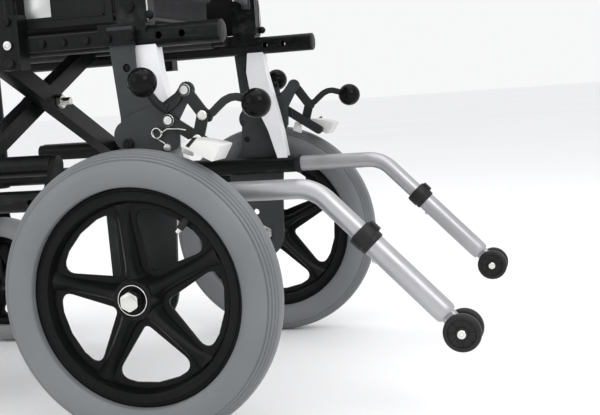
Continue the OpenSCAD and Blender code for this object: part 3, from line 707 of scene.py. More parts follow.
@dataclass
class MagWheel:
    """A moulded spoked wheel with its tyre, turned round +Z before it is placed."""

    name: str
    body: str
    centre: Point
    radius: float
    seat_radius: float
    width: float
    rim_width: float
    hub_radius: float
    hub_width: float
    bore: float
    web_radius: float
    tyre_finish: Finish
    tyre_slot: Slot
    replaced: tuple[str, str]
    ribs: int = 4
    spokes: int = 5
    spoke_turn: float = 0.0
    valve_turn: float = 127.0
    steps: int = 144

    def fine_section(self) -> list[Flat]:
        """The tyre's section with enough points for its fine ribs."""
        half = self.width / 2
        middle = self.radius - half
        upper = [(self.seat_radius + 0.1, self.rim_width / 2 - 1.0)]
        start = math.degrees(math.asin(max(-0.95, (self.seat_radius + 1.2 - middle) / half)))
        upper.append((self.seat_radius + 0.1, half * math.cos(math.radians(start)) - 1.2))
        angle = start
        while angle < 90:
            groove = 0.0
            if self.ribs and 30 <= angle <= 70:
                phase = math.tau * self.ribs * (angle - 30) / 40
                groove = 1.5 * (0.5 - 0.5 * math.cos(phase)) ** 2.5
            reach = half - groove
            upper.append((middle + reach * math.sin(math.radians(angle)),
                          reach * math.cos(math.radians(angle))))
            angle += 1.0 if self.ribs and 29 <= angle <= 71 else 4.5
        upper.append((self.radius, 0.0))
        return upper + [(r, -w) for r, w in reversed(upper[:-1])]

    def tyre(self, side: Side) -> None:
        """The tyre."""
        maker = Maker()
        maker.lathe(self.fine_section(), on_wheel(*self.centre), self.steps)
        maker.finish(f"{side}_{self.name}_tyre_shown", self.body, self.tyre_finish, self.tyre_slot,
                     side, (self.replaced[0],), crease=50)

    def window(self, turn: float) -> list[Flat]:
        """The corners of the opening between two spokes, round the wheel's own centre.

        Args:
            turn: the opening's middle, in radians.

        Returns:
            Its corners as (x, z).
        """
        outer = self.web_radius - self.radius * 0.035
        gap = math.asin(self.radius * 0.062 / outer)
        spread = math.pi / self.spokes - gap
        inner = self.hub_radius + self.radius * 0.03
        corners = [(inner, 0.0)]
        corners += [(outer, spread * share) for share in (1.0, 0.5, 0.0, -0.5, -1.0)]
        return [(r * math.cos(turn + a), r * math.sin(turn + a)) for r, a in corners]

    def web(self, maker: Maker, thickness: float) -> None:
        """The disc that carries the spokes, with its rounded openings and their raised lips.

        Args:
            maker: the rim in the making.
            thickness: the disc's thickness.
        """
        part = bmesh.new()
        bmesh.ops.create_circle(part, cap_ends=False, radius=self.web_radius + 1.0, segments=90)
        bmesh.ops.create_circle(part, cap_ends=False, radius=self.hub_radius - 2.0, segments=36)
        for index in range(self.spokes):
            turn = math.tau * (index + 0.5) / self.spokes - self.spoke_turn
            corners = [part.verts.new((x, z, 0)) for x, z in self.window(turn)]
            part.faces.new(corners)
            for sharp, offset in (([corners[1], corners[-1]], 0.1), ([corners[0]], 0.045)):
                bevel(part, sharp, self.radius * offset, 6, "VERTICES")
            bmesh.ops.delete(part, geom=[f for f in part.faces if f.is_valid], context="FACES_ONLY")
        bmesh.ops.triangle_fill(part, use_beauty=True, use_dissolve=False, edges=part.edges[:])
        thicken(part, (0, 0, thickness))
        bmesh.ops.translate(part, vec=(0, 0, -thickness / 2), verts=part.verts)
        bmesh.ops.recalc_face_normals(part, faces=part.faces)
        bevel(part, sharp_among(part.edges), thickness * 0.22, 3, clamp=True)
        maker.take(part, on_wheel(*self.centre))

    def spoke(self, maker: Maker, turn: float, face: int, thickness: float) -> None:
        """A spoke's crowned back on one face of the web, with a fine ridge along its middle.

        Args:
            maker: the rim in the making.
            turn: the spoke's direction, in radians.
            face: 1 for the outer face of the wheel, -1 for the inner.
            thickness: the web's thickness.
        """
        part = bmesh.new()
        bmesh.ops.create_grid(part, x_segments=12, y_segments=8, size=1.0)
        reach = self.web_radius - self.hub_radius
        rise = self.hub_width / 2 - thickness / 2
        for vert in part.verts:
            along = (vert.co.x + 1) / 2
            across = vert.co.y
            tip, root = max(0.0, (along - 0.72) / 0.28), max(0.0, (0.2 - along) / 0.2)
            flare = 1 + 0.55 * tip ** 2 + 0.5 * root ** 2
            half = self.radius * (0.062 - 0.012 * along) * flare
            crown = (1 - abs(across) ** 2.2) * (rise * (0.86 - 0.62 * along) + 0.5)
            ridge = 0.9 if abs(across) < 0.1 else 0.0
            vert.co = (self.hub_radius * 0.8 + along * (reach + self.hub_radius * 0.2 + 0.5),
                       across * half, thickness * 0.3 + crown + ridge)
        for vert in new_verts(thicken(part, (0, 0, 0))):
            vert.co.z = 0.0
        place = on_wheel(*self.centre) @ Matrix.Rotation(turn, 4, "Z")
        if face < 0:
            place = place @ Matrix.Rotation(math.pi, 4, "X")
        maker.take(part, place)

    def rim(self, side: Side) -> None:
        """The rim: flanges and barrel, web, spokes and hub."""
        maker = Maker()
        place = on_wheel(*self.centre)
        edge, half = self.seat_radius - 0.1, self.rim_width / 2
        lip = self.web_radius + (edge - self.web_radius) * 0.3
        upper = [(edge, half * 0.72), (edge - 0.5, half - 0.6), (edge - 2.0, half),
                 (edge - 3.2, half), (edge - 3.8, half - 0.7), (edge - 4.6, half - 0.7),
                 (edge - 5.2, half), (lip, half), (lip - 1.6, half - 0.8), (lip - 2.4, half - 2.6),
                 (self.web_radius, 3.0)]
        section = mirrored(upper) + [(edge - 5.0, -half * 0.5), (edge - 5.0, half * 0.5)]
        maker.lathe(section, place, self.steps)
        thickness = self.rim_width * 0.26
        self.web(maker, thickness)
        for index in range(self.spokes):
            for face in (1, -1):
                self.spoke(maker, math.tau * index / self.spokes - self.spoke_turn, face, thickness)
        hub, deep = self.hub_radius, self.hub_width / 2
        bore = self.bore + 0.05
        upper = [(bore, deep - 4.5), (hub * 0.56, deep - 4.5), (hub * 0.6, deep - 4.0),
                 (hub * 0.62, deep - 0.6), (hub * 0.66, deep), (hub * 0.8, deep),
                 (hub * 0.86, deep - 1.0), (hub * 0.9, deep * 0.62), (hub, deep * 0.3)]
        maker.lathe(mirrored(upper), place, 64)
        maker.finish(f"{side}_{self.name}_rim_shown", self.body, RIM, Slot.RIM, side,
                     (self.replaced[1],), crease=32)

    def hub_rings(self, side: Side) -> None:
        """The bright bearing rings in the hub's faces."""
        maker = Maker()
        hub, deep = self.hub_radius, self.hub_width / 2
        for face in (1, -1):
            low, high = sorted((face * (deep - 3.4), face * (deep + 0.15)))
            section = [(hub * 0.625, low), (hub * 0.665, low), (hub * 0.665, high - 0.2),
                       (hub * 0.655, high), (hub * 0.635, high), (hub * 0.625, high - 0.2)]
            maker.lathe(section, on_wheel(*self.centre), 64)
        maker.finish(f"{side}_{self.name}_hub_rings", self.body, BRIGHT, Slot.STEEL, side)

    def valve(self, side: Side) -> None:
        """The valve stem, which leans inwards from the rim's barrel."""
        stem, tip = Maker(), Maker()
        turn = math.radians(self.valve_turn)
        out = Vector((math.cos(turn), 0, math.sin(turn)))
        centre = Vector(self.centre)
        start = centre + out * (self.web_radius + 3) + Vector((0, 7, 0))
        inwards = (-out + Vector((0, 0.25, 0))).normalized()
        stem.rod(start, start + inwards * 14, 4.0, 1.2, 20)
        tip.rod(start + inwards * 13.5, start + inwards * 19, 2.7, 0.6, 16)
        stem.finish(f"{side}_{self.name}_valve_stem", self.body, RUBBER, Slot.RIM, side)
        tip.finish(f"{side}_{self.name}_valve_cap", self.body, BRIGHT, Slot.STEEL, side)

    def build(self, side: Side, valve: bool) -> None:
        """Makes all of the wheel on one side.

        Args:
            side: the side of the chair.
            valve: whether the tyre has a valve stem.
        """
        self.tyre(side)
        self.rim(side)
        self.hub_rings(side)
        if valve:
            self.valve(side)


@dataclass
class Wheels:
    """The rear wheels, the casters and their forks, and the rear axles."""

    rear_y: float = 254.5
    rail_y: float = RAIL_Y
    rear_radius: float = REAR_RADIUS
    caster_radius: float = 100.0
    caster_x: float = 440.0

    def build(self, side: Side) -> None:
        """Makes one side's wheels."""
        rear = MagWheel(
            "rear_wheel", f"{side}_rear_wheel", (0, self.rear_y, self.rear_radius),
                        self.rear_radius,
            seat_radius=119.5, width=48, rim_width=24, hub_radius=25, hub_width=47, bore=6,
            web_radius=101.0, tyre_finish=TYRE, tyre_slot=Slot.TYRE,
            replaced=(f"{side}_rear_tyre", f"{side}_rear_rim"), spoke_turn=math.radians(11),
        )
        rear.build(side, True)
        caster = MagWheel(
            "caster", f"{side}_caster_wheel", (self.caster_x, self.rail_y, self.caster_radius),
            self.caster_radius, seat_radius=72, width=44, rim_width=26, hub_radius=17, hub_width=51,
            bore=5, web_radius=60.0, tyre_finish=CASTER_TYRE, tyre_slot=Slot.CASTER_TYRE,
            replaced=(f"{side}_caster_tyre", f"{side}_caster_rim"), ribs=0, steps=96,
        )
        caster.build(side, False)
        self.axle(side)
        soften(f"{side}_caster_fork", PAINT, 1.2, 3)
        self.fork_bolts(side)

    def axle(self, side: Side) -> None:
        """The rear axle: spacer, nuts and a domed end."""
        maker = Maker()
        outer = self.rear_y + 24
        maker.rod((0, self.rail_y - 4, self.rear_radius), (0, outer + 6, self.rear_radius), 6, 0.4)
        maker.nut((0, outer - 3, self.rear_radius), OUT, 19, 11)
        maker.cap((0, outer + 7.9, self.rear_radius), OUT, 8.2, 1.1, 40)
        maker.nut((0, 202.6, self.rear_radius), OUT, 19, 8)
        maker.rod((0, 215.8, self.rear_radius), (0, self.rear_y - 24, self.rear_radius), 9, 0.8)
        maker.finish(f"{side}_rear_axle_shown", f"{side}_frame", BRIGHT, Slot.STEEL, side,
                     (f"{side}_rear_axle",))

    def fork_bolts(self, side: Side) -> None:
        """The caster axle's nuts, and the dust cap and ring on the swivel bearing's housing."""
        bolts = Maker()
        for face in (1, -1):
            bolts.nut((self.caster_x, self.rail_y + face * 30.2, self.caster_radius), (0, face, 0),
                      14, 5)
            bolts.cap((self.caster_x, self.rail_y + face * 35, self.caster_radius), (0, face, 0),
                      4.8, 3)
        bolts.finish(f"{side}_caster_bolts", f"{side}_caster", BRIGHT, Slot.STEEL, side)
        housing = Maker()
        housing.cap((480, self.rail_y, 319.8), (0, 0, 1), 16.5, 5, 40)
        housing.finish(f"{side}_housing_cap", f"{side}_frame", ROLLER, Slot.FRAME, side)
        seal = Maker()
        seal.lathe([(10.6, 226.5), (18.2, 226.5), (18.6, 227.5), (18.2, 231.8), (10.6, 231.8)],
                   at(480, self.rail_y, 0), 48)
        seal.finish(f"{side}_swivel_seal", f"{side}_frame", BRIGHT, Slot.STEEL, side)


@dataclass
class Brake:
    """A toggle brake: lever with two ball knobs, link, shoe arm, shoe block and springs."""

    pivot: Flat = (-56.5, 375.6)
    shoe_pivot: Flat = (-35.4, 344.2)
    lever_pin: Flat = (-76.1, 347.4)
    shoe_pin: Flat = (-68.4, 321.9)
    shoe_end: Flat = (-89.0, 308.0)
    lever_y: float = 220.2
    link_y: float = 224.7
    head_y: float = 229.2
    thickness: float = 4.0
    knob_radius: float = 16.0
    shoe_turn: float = 28.5

    def strip(self, points: Sequence[Flat], width: float) -> list[Flat]:
        """The outline of a flat strip along a line of points.

        Args:
            points: the line's points as (x, z).
            width: the strip's width.

        Returns:
            The outline's corners.
        """
        sides: tuple[list[Flat], list[Flat]] = ([], [])
        last = len(points) - 1
        for i, (x, z) in enumerate(points):
            ahead, behind = points[min(i + 1, last)], points[max(i - 1, 0)]
            run = Vector((ahead[0] - behind[0], ahead[1] - behind[1])).normalized()
            off = Vector((-run.y, run.x)) * width / 2
            push = Vector((0, 0))
            if i == 0:
                push = -run * width * 0.42
            elif i == last:
                push = run * width * 0.42
            sides[0].append((x + off.x + push.x, z + off.y + push.y))
            sides[1].append((x - off.x + push.x, z - off.y + push.y))
        return sides[0] + sides[1][::-1]

    def lever(self, side: Side) -> None:
        """The lever's two branches, one to each knob, and the knobs."""
        maker = Maker()
        y, t = self.lever_y, self.thickness
        maker.plate(self.strip([self.lever_pin, self.pivot, (-45, 366), (-31, 357)], 12), y, t,
                    rounding=5)
        maker.plate(self.strip([self.pivot, (-66, 362), self.lever_pin, (-80, 346)], 13), y + 0.02,
                    t - 0.04, rounding=5)
        neck = [self.lever_pin, (-85, 349), (-93, 356), (-100, 361.5), (-107, 364.3), (-114, 364.6),
                (-124, 361.5), (-132, 358)]
        maker.plate(self.strip(neck, 8.5), y + 0.01, t - 0.02, rounding=2)
        maker.tube([(-34, y + 2.4, 357), (-30, y + 4, 358.5), (-26.5, y + 12, 364),
                    (-23.5, y + 20, 373), (-21.2, y + 29, 384)], lambda share: 5.4 - 1.6 * share,
                   18)
        maker.tube([(-129, y + 2.2, 359), (-134, y + 5, 357.4), (-137, y + 9, 356.4)], 3.6, 16)
        maker.finish(f"{side}_brake_lever_arms", f"{side}_lever", LEVER_COAT, Slot.LEVER, side,
                     (f"{side}_brake_lever",))
        knobs = Maker()
        for x, ball_y, z in ((-20.7, 252.0, 386.3), (-137.2, 229.0, 356.4)):
            knobs.ball((x, ball_y, z), self.knob_radius)
        knobs.finish(f"{side}_brake_knobs", f"{side}_lever", GLOSS, Slot.LEVER, side)
        collars = Maker()
        collars.rod((-22.0, 242 - 4, 378), (-21.3, 242 + 1, 383.5), 5.2, 0.8, 24)
        collars.rod((-127.5, 223.2, 359.6), (-131, 225.2, 358.3), 5.0, 0.8, 24)
        collars.finish(f"{side}_knob_collars", f"{side}_lever", LEVER_COAT, Slot.LEVER, side)
        self.pin_rivet(side, "lever", self.lever_pin)

    def pin_rivet(self, side: Side, part: str, pin: Flat) -> None:
        """The rivet that pins the link to another part.

        Args:
            side: the side of the chair.
            part: the part that it rides with, lever or shoe.
            pin: where it is, as (x, z).
        """
        rivet = Maker()
        x, z = pin
        rivet.cap((x, self.head_y, z), OUT, 5.4, 2.2, 32)
        rivet.rod((x, self.lever_y + 1, z), (x, self.head_y + 0.2, z), 2.5)
        rivet.finish(f"{side}_{part}_rivet", f"{side}_{part}", RIVET, Slot.STEEL, side)

    def link(self, side: Side) -> None:
        """The link between the lever and the shoe arm."""
        maker = Maker()
        maker.plate(self.strip([self.lever_pin, self.shoe_pin], 13), self.link_y, self.thickness,
                    [(*self.lever_pin, 2.55), (*self.shoe_pin, 4.5)], rounding=5.5)
        maker.finish(f"{side}_brake_link_shown", f"{side}_link", LEVER_COAT, Slot.LEVER, side,
                     (f"{side}_brake_link",))

    def shoe(self, side: Side) -> None:
        """The shoe arm, and the pale block that presses on the tyre, with a dark plate on its face
        as painted shade for its slot.
        """
        arm = Maker()
        y, t = self.lever_y, self.thickness
        arm.plate(self.strip([self.shoe_pivot, self.shoe_pin, self.shoe_end], 13), y, t,
                  [(*self.shoe_pivot, 4.05)], rounding=5)
        arm.rod((self.shoe_end[0], y + 1, self.shoe_end[1]),
                (self.shoe_end[0], y + 17, self.shoe_end[1]), 5)
        arm.finish(f"{side}_shoe_arm", f"{side}_shoe", LEVER_COAT, Slot.LEVER, side,
                   (f"{side}_brake_shoe",))
        self.pin_rivet(side, "shoe", self.shoe_pin)
        y = self.head_y + 4
        block = Maker()
        block.plate(self.round_tyre([(-20, 171.2), (19, 171.2), (13, 182), (-6, 188), (-21, 191)]),
                    y, 38, rounding=2, soft=1.6)
        block.plate([(-53, 322), (-61.5, 318), (-61.5, 304), (-48, 309)], self.lever_y + 4.2, 2.8,
                    rounding=1.5, soft=0.5)
        block.finish(f"{side}_shoe_block", f"{side}_shoe", SHOE, Slot.SHOE, side)
        # A thin dark plate on the block's face: painted shade where the slot would be
        slot = Maker()
        slot.plate(self.round_tyre([(9.5, 173.5), (13.5, 173.5), (9.5, 185.2), (5.5, 187)]),
                   y + 37.4, 0.9, rounding=0.6, soft=0.2)
        slot.finish(f"{side}_shoe_slot", f"{side}_shoe", ROLLER, Slot.LEVER, side)

    def round_tyre(self, points: Sequence[Flat]) -> list[Flat]:
        """Turns points drawn above the wheel's top round to where the shoe stands.

        Args:
            points: as (along the tyre, distance from the axle).

        Returns:
            The points as (x, z).
        """
        turn = math.radians(self.shoe_turn)
        return [(x * math.cos(turn) - z * math.sin(turn),
                 x * math.sin(turn) + z * math.cos(turn) + REAR_RADIUS)
                for x, z in points]

    def fixings(self, side: Side) -> None:
        """Rivets, screws and the return spring on the brake's plate."""
        heads = Maker()
        for x, z in (self.pivot, self.shoe_pivot):
            heads.cap((x, self.lever_y + 4.4, z), OUT, 6.6, 2.4, 36)
            heads.rod((x, 219.5, z), (x, 224.6, z), 3.9)
        heads.cap((-30, 219.6, 315), OUT, 4.2, 3.4, 28)
        heads.cap((4, 215.5, 286), OUT, 4.0, 1.6, 28)
        heads.finish(f"{side}_brake_rivets", f"{side}_frame", RIVET, Slot.STEEL, side)
        screw = Maker()
        screw.socket_screw((15, 219.6, 321), OUT, 6.2, 4.2)
        screw.finish(f"{side}_brake_screw", f"{side}_frame", PAINT, Slot.FRAME, side)
        spring = Maker()
        coil = [(-20 + 5.6 * math.cos(a), 220.4 + 1.45 * a / math.tau, 331 + 5.6 * math.sin(a))
                for a in (math.radians(30 * k) for k in range(-2, 31))]
        foot = [(-30, 221.4, 314.5), (-27.5, 220.6, 319.5)]
        arm = [(-34, 225.6, 335.2), (-47, 225.8, 334.4), (-53, 225.6, 333.0), (-55, 224.9, 332.6)]
        spring.tube(foot + coil + arm, 0.85, 10)
        spring.finish(f"{side}_brake_spring", f"{side}_frame", BRIGHT, Slot.STEEL, side)

    def build(self, side: Side) -> None:
        """Makes one side's brake."""
        soften(f"{side}_brake_plate", TEXTURED, 0.5)
        self.lever(side)
        self.link(side)
        self.shoe(side)
        self.fixings(side)


@dataclass
class SideFrame:
    """One side frame: rails, posts, plates, strut, their fixings, and the push handle."""

    rail_y: float = RAIL_Y
    upper_z: float = 437.0
    lower_z: float = 261.0
    tail: float = -94.0
    front: float = 430.0
    face_y: float = 210.6
    lean: float = 6.0
    cane_length: float = 465.0
    bend_radius: float = 50.0
    handle: float = 128.0

    def grip_place(self) -> Matrix:
        """The placing of shapes drawn along the push handle."""
        return (on_cane(self.rail_y) @ Matrix.Translation((-self.bend_radius, 0, self.cane_length))
                @ Matrix.Rotation(math.radians(self.lean - 90), 4, "Y")
                @ Matrix.Translation((self.bend_radius, 0, 0)))

    def tubes(self, side: Side) -> None:
        """Rails, posts, plates and the arm socket, with softened edges."""
        for name, finish, slot, soft in (
            ("upper_rail", PAINT, Slot.FRAME, 0.4), ("lower_rail", PAINT, Slot.FRAME, 0.5),
            ("front_post", PAINT, Slot.FRAME, 0.9), ("arm_socket", PAINT, Slot.FRAME, 0.9),
            ("back_post", PAINT, Slot.FRAME, 1.4), ("axle_plate", TEXTURED, Slot.PLATE, 0.6),
        ):
            soften(f"{side}_{name}", finish, soft)
        # The strut gets the paler silver that makes up for its shade: painted light
        soften(f"{side}_strut", STRUT_BRIGHTENED_FOR_SHADE, 5.5, 5)

    def plugs(self, side: Side) -> None:
        """Plastic plugs in the open tube ends, and the push button by the rear one."""
        maker = Maker()
        body = f"{side}_frame"
        maker.cap((self.tail, self.rail_y, self.upper_z), (-1, 0, 0), 12.4, 3.2, 40)
        maker.rod((self.tail + 12, self.rail_y, self.upper_z),
                  (self.tail - 0.2, self.rail_y, self.upper_z), 10.4)
        maker.cap((self.front, self.rail_y, self.upper_z + 32.8), (0, 0, 1), 12.4, 4, 40)
        maker.cap((self.front, self.rail_y, self.lower_z - 12.4), (0, 0, -1), 12.4, 3, 40)
        maker.lathe([(11.1, 0), (13.4, 0.6), (13.6, 4), (12.6, 8), (11.1, 8.4)],
                    at(-66, self.rail_y, self.lower_z, (1, 0, 0)), 48)
        maker.finish(f"{side}_tube_plugs", body, ROLLER, Slot.FRAME, side)
        button = Maker()
        button.cap((-54, self.face_y - 0.4, self.lower_z + 0.4), OUT, 3.4, 2.4)
        button.cap((-81, self.rail_y + 9.5, self.lower_z + 8), (0, 0.7, 0.7), 2.6, 2.6)
        button.finish(f"{side}_push_buttons", body, BRIGHT, Slot.STEEL, side)

    def screws(self, side: Side) -> None:
        """The screws and rivets on the outside of the frame."""
        body = f"{side}_frame"
        pale, dark = Maker(), Maker()
        for x in (2, 29, 55, 83, 108):
            dark.socket_screw((x, 222.2, self.upper_z), OUT, 4.4, 2.4)
        pale.socket_screw((142.5, 233.6, 438), OUT, 5.0, 2.6)
        for z in (418, 464):
            dark.socket_screw((142.5, 233.6, z), OUT, 5.0, 3.0)
        for x, z in ((9, 265), (-24, 263)):
            dark.socket_screw((x, self.face_y + 5, z), OUT, 5.4, 3.4)
        for x, z in ((20, 300), (12, 404)):
            dark.cap((x, self.face_y + 1.2, z), OUT, 5.0, 2.2)
        dark.ball((-17, self.rail_y + 9.5, 460), 5.2)
        for z in (470, 494):
            dark.socket_screw((6, self.rail_y + 11, z), OUT, 5.6, 3.2)
        pale.finish(f"{side}_frame_screws_bright", body, BRIGHT, Slot.STEEL, side)
        dark.finish(f"{side}_frame_screws_black", body, PAINT, Slot.FRAME, side)

    def lower_bracket(self, side: Side) -> None:
        """The pressed bracket under the axle plate, and the cane bracket's bright edge."""
        maker = Maker()
        maker.plate([(28, 250), (28, 272), (20, 279), (-30, 279), (-38, 272), (-38, 250)],
                    self.face_y + 5.05, 3.0, rounding=3, soft=1.0)
        maker.finish(f"{side}_rail_bracket", f"{side}_frame", PAINT, Slot.FRAME, side)
        trim = Maker()
        y = self.rail_y
        trim.tube([(-15.4, y + 11.2, 455), (-15.2, y + 11.4, 480), (-14.2, y + 11.2, 505)], 0.8, 8)
        trim.finish(f"{side}_cane_bracket_edge", f"{side}_frame", BRIGHT, Slot.STEEL, side)

    def grip(self, side: Side) -> None:
        """The ribbed push grip, with its collar and rounded end."""
        maker = Maker()
        start = self.handle - 112 + 3
        profile: list[Flat] = [(11.2, start), (16.0, start + 0.6), (16.5, start + 3),
                               (16.5, start + 6), (14.6, start + 8)]
        for rib in range(11):
            base = start + 10 + rib * 8
            profile += [(14.0, base), (14.9, base + 1.4), (15.4, base + 3.4), (14.9, base + 5.4),
                        (14.0, base + 6.8)]
        profile += [(15.2, start + 100), (16.2, start + 103), (16.2, start + 107),
                    (14.4, start + 110.4), (9.0, start + 111.8), (0.0, start + 112),
                    (0.0, start + 109), (11.2, start + 109)]
        maker.lathe(profile, self.grip_place(), 56)
        maker.finish(f"{side}_grip_shown", f"{side}_frame", RUBBER, Slot.GRIP, side,
                     (f"{side}_grip",), crease=50)

    def build(self, side: Side) -> None:
        """Makes one side frame."""
        self.tubes(side)
        self.plugs(side)
        self.screws(side)
        self.lower_bracket(side)
        self.grip(side)


@dataclass
class AntiTipper:
    """An anti-tip tube behind the rail, with its sliding sleeve and two small wheels."""

    corner: Flat = (-185.0, 261.0)
    rail_y: float = RAIL_Y
    angle: float = 46.0
    reach: float = 218.0
    wheel_radius: float = 20.5

    def place(self) -> Matrix:
        """The placing of shapes drawn along the tube's rear leg."""
        return (Matrix.Translation((self.corner[0], self.rail_y, self.corner[1]))
                @ Matrix.Rotation(math.radians(-90 - self.angle), 4, "Y"))

    def axle(self) -> Vector:
        """The middle of the small wheels' axle."""
        return self.place() @ Vector((0, 0, self.reach))

    def sleeve(self, side: Side) -> None:
        """The sliding sleeve, its black collar, its button and its forked end."""
        body = f"{side}_tip_slide"
        tube = Maker()
        end = self.reach - 23
        tube.lathe([(11.1, 74), (12.7, 74), (12.7, end - 8), (12.4, end - 3), (11.2, end), (0, end),
                    (0, end - 2), (11.1, end - 2)], self.place(), 56, ring=False)
        tube.block((-8.6, -5.8, end - 5), (8.6, 5.8, self.reach + 9), 3.2, self.place(), 4)
        tube.finish(f"{side}_tip_sleeve_shown", body, SATIN, Slot.TUBE, side,
                    (f"{side}_tip_sleeve",))
        collar = Maker()
        collar.lathe([(11.1, 66.5), (13.6, 66.5), (15.2, 67.6), (15.6, 70), (15.6, 80), (15.2, 82),
                      (14.6, 82.6), (14.6, 86.4), (14.0, 88), (12.7, 88.4), (11.1, 88.4)],
                     self.place(), 56)
        collar.block((13.5, -4.5, 69), (18.2, 4.5, 82), 1.4, self.place(), 3)
        collar.finish(f"{side}_tip_collar", body, ROLLER, Slot.ROLLER, side)
        button = Maker()
        button.cap(self.place() @ Vector((-12.4, 0, 101)),
                   self.place().to_3x3() @ Vector((-1, 0, 0)), 3.0, 2.4)
        button.finish(f"{side}_tip_button", body, BRIGHT, Slot.STEEL, side)
        bolt = Maker()
        x, _, z = self.axle()
        bolt.rod((x, self.rail_y - 19.6, z), (x, self.rail_y + 19.6, z), 3)
        for face in (1, -1):
            bolt.socket_screw((x, self.rail_y + face * 19.5, z), (0, face, 0), 4.6, 2.8)
        bolt.finish(f"{side}_tip_axle", body, BRIGHT, Slot.STEEL, side)

    def rollers(self, side: Side) -> None:
        """The two small wheels, with dished faces and a ring of webs."""
        maker = Maker()
        x, _, z = self.axle()
        big = self.wheel_radius
        for face in (1, -1):
            upper = [(3.05, 6), (6.2, 6), (6.6, 5.6), (6.9, 3.4), (14.2, 3.2), (14.8, 3.6),
                     (15.1, 5.4), (15.5, 5.8), (17.4, 5.8), (18.8, 5.2), (19.9, 4.0), (20.4, 2.2)]
            place = on_wheel(x, self.rail_y + face * 13, z)
            maker.lathe(upper + [(big, 0)] + mirrored(upper)[len(upper):], place, 64)
            for index in range(8):
                turned = place @ Matrix.Rotation(math.tau * index / 8, 4, "Z")
                maker.block((6.0, -0.7, -4.6), (15.2, 0.7, 4.6), 0.3, turned, 1)
        maker.finish(f"{side}_tip_wheels_shown", f"{side}_tip_roller", ROLLER, Slot.ROLLER, side,
                     (f"{side}_tip_wheels",))

    def build(self, side: Side) -> None:
        """Makes one side's anti-tipper."""
        soften(f"{side}_tip_tube", SATIN, 0.5)
        self.sleeve(side)
        self.rollers(side)


@dataclass
class Soft:
    """A stuffed piece: a shape that is remeshed, swollen by pressure and held to a limit."""

    voxel: float = 5.0
    pressure: float = 4.0
    frames: int = 20
    quick_swell: float = 0.01

    def remesh(self, piece: bpy.types.Object) -> None:
        """Gives the piece even faces.

        Args:
            piece: the object, in metres, in the scene.
        """
        step = piece.modifiers.new("even", "REMESH")
        step.mode = "VOXEL"
        step.voxel_size = self.voxel * MM
        self.apply(piece)

    def apply(self, piece: bpy.types.Object) -> None:
        """Writes the piece's modifiers into its mesh."""
        evaluated = piece.evaluated_get(bpy.context.evaluated_depsgraph_get())
        mesh = bpy.data.meshes.new_from_object(evaluated)
        piece.modifiers.clear()
        old = piece.data
        piece.data = mesh
        bpy.data.meshes.remove(old)

    def swell(self, piece: bpy.types.Object, cap: Callable[[Vector], float]) -> None:
        """Blows the piece up as cloth, then limits how far each point went.

        Args:
            piece: the object, remeshed.
            cap: the farthest that a point may move, in metres, from where it was.
        """
        rest = [v.co.copy() for v in piece.data.vertices]
        cloth = piece.modifiers.new("swell", "CLOTH")
        cloth.settings.use_pressure = True
        cloth.settings.uniform_pressure_force = self.pressure
        cloth.settings.effector_weights.gravity = 0.0
        cloth.settings.quality = 5
        cloth.point_cache.frame_start = 1
        cloth.point_cache.frame_end = self.frames
        scene = bpy.context.scene
        for number in range(1, self.frames + 1):
            scene.frame_set(number)
        result = piece.evaluated_get(bpy.context.evaluated_depsgraph_get())
        moved = [v.co.copy() for v in result.data.vertices]
        piece.modifiers.clear()
        scene.frame_set(1)
        for vert, start, end in zip(piece.data.vertices, rest, moved):
            step = end - start
            limit = cap(start)
            vert.co = start + (step * (limit / step.length) if step.length > limit else step)

    def smooth(self, piece: bpy.types.Object, rounds: int) -> None:
        """Relaxes the piece and gives it one finer level of faces.

        Args:
            piece: the object.
            rounds: how many times each point moves towards its neighbours.
        """
        bm = bmesh.new()
        bm.from_mesh(piece.data)
        for _ in range(rounds):
            bmesh.ops.smooth_vert(bm, verts=bm.verts, factor=0.5, use_axis_x=True, use_axis_y=True,
                                  use_axis_z=True)
        bm.to_mesh(piece.data)
        bm.free()
        finer = piece.modifiers.new("finer", "SUBSURF")
        finer.levels = finer.render_levels = 1
        self.apply(piece)

    def start(self, name: str, maker: Maker, side: Side = Side.LEFT) -> bpy.types.Object:
        """Turns a rough shape into an object in metres, in the scene.

        Args:
            name: the piece's name.
            maker: the shape.
            side: the side of the chair.

        Returns:
            The object.
        """
        piece = bpy.data.objects.new(name, maker.mesh(name, side))
        bpy.context.scene.collection.objects.link(piece)
        return piece

    def settle(self, piece: bpy.types.Object, body: str, finish: Finish,
               replaces: Sequence[str]) -> None:
        """Args:
            piece: the object, in the scene.
            body: the CAD body that it rides on.
            finish: its surface.
            replaces: the CAD nodes that it stands for.
        """
        bpy.context.scene.collection.objects.unlink(piece)
        dress(piece, body, finish, replaces, crease=80)


def limited(value: float, low: float, high: float) -> float:
    """A value held between two limits."""
    return max(low, min(high, value))


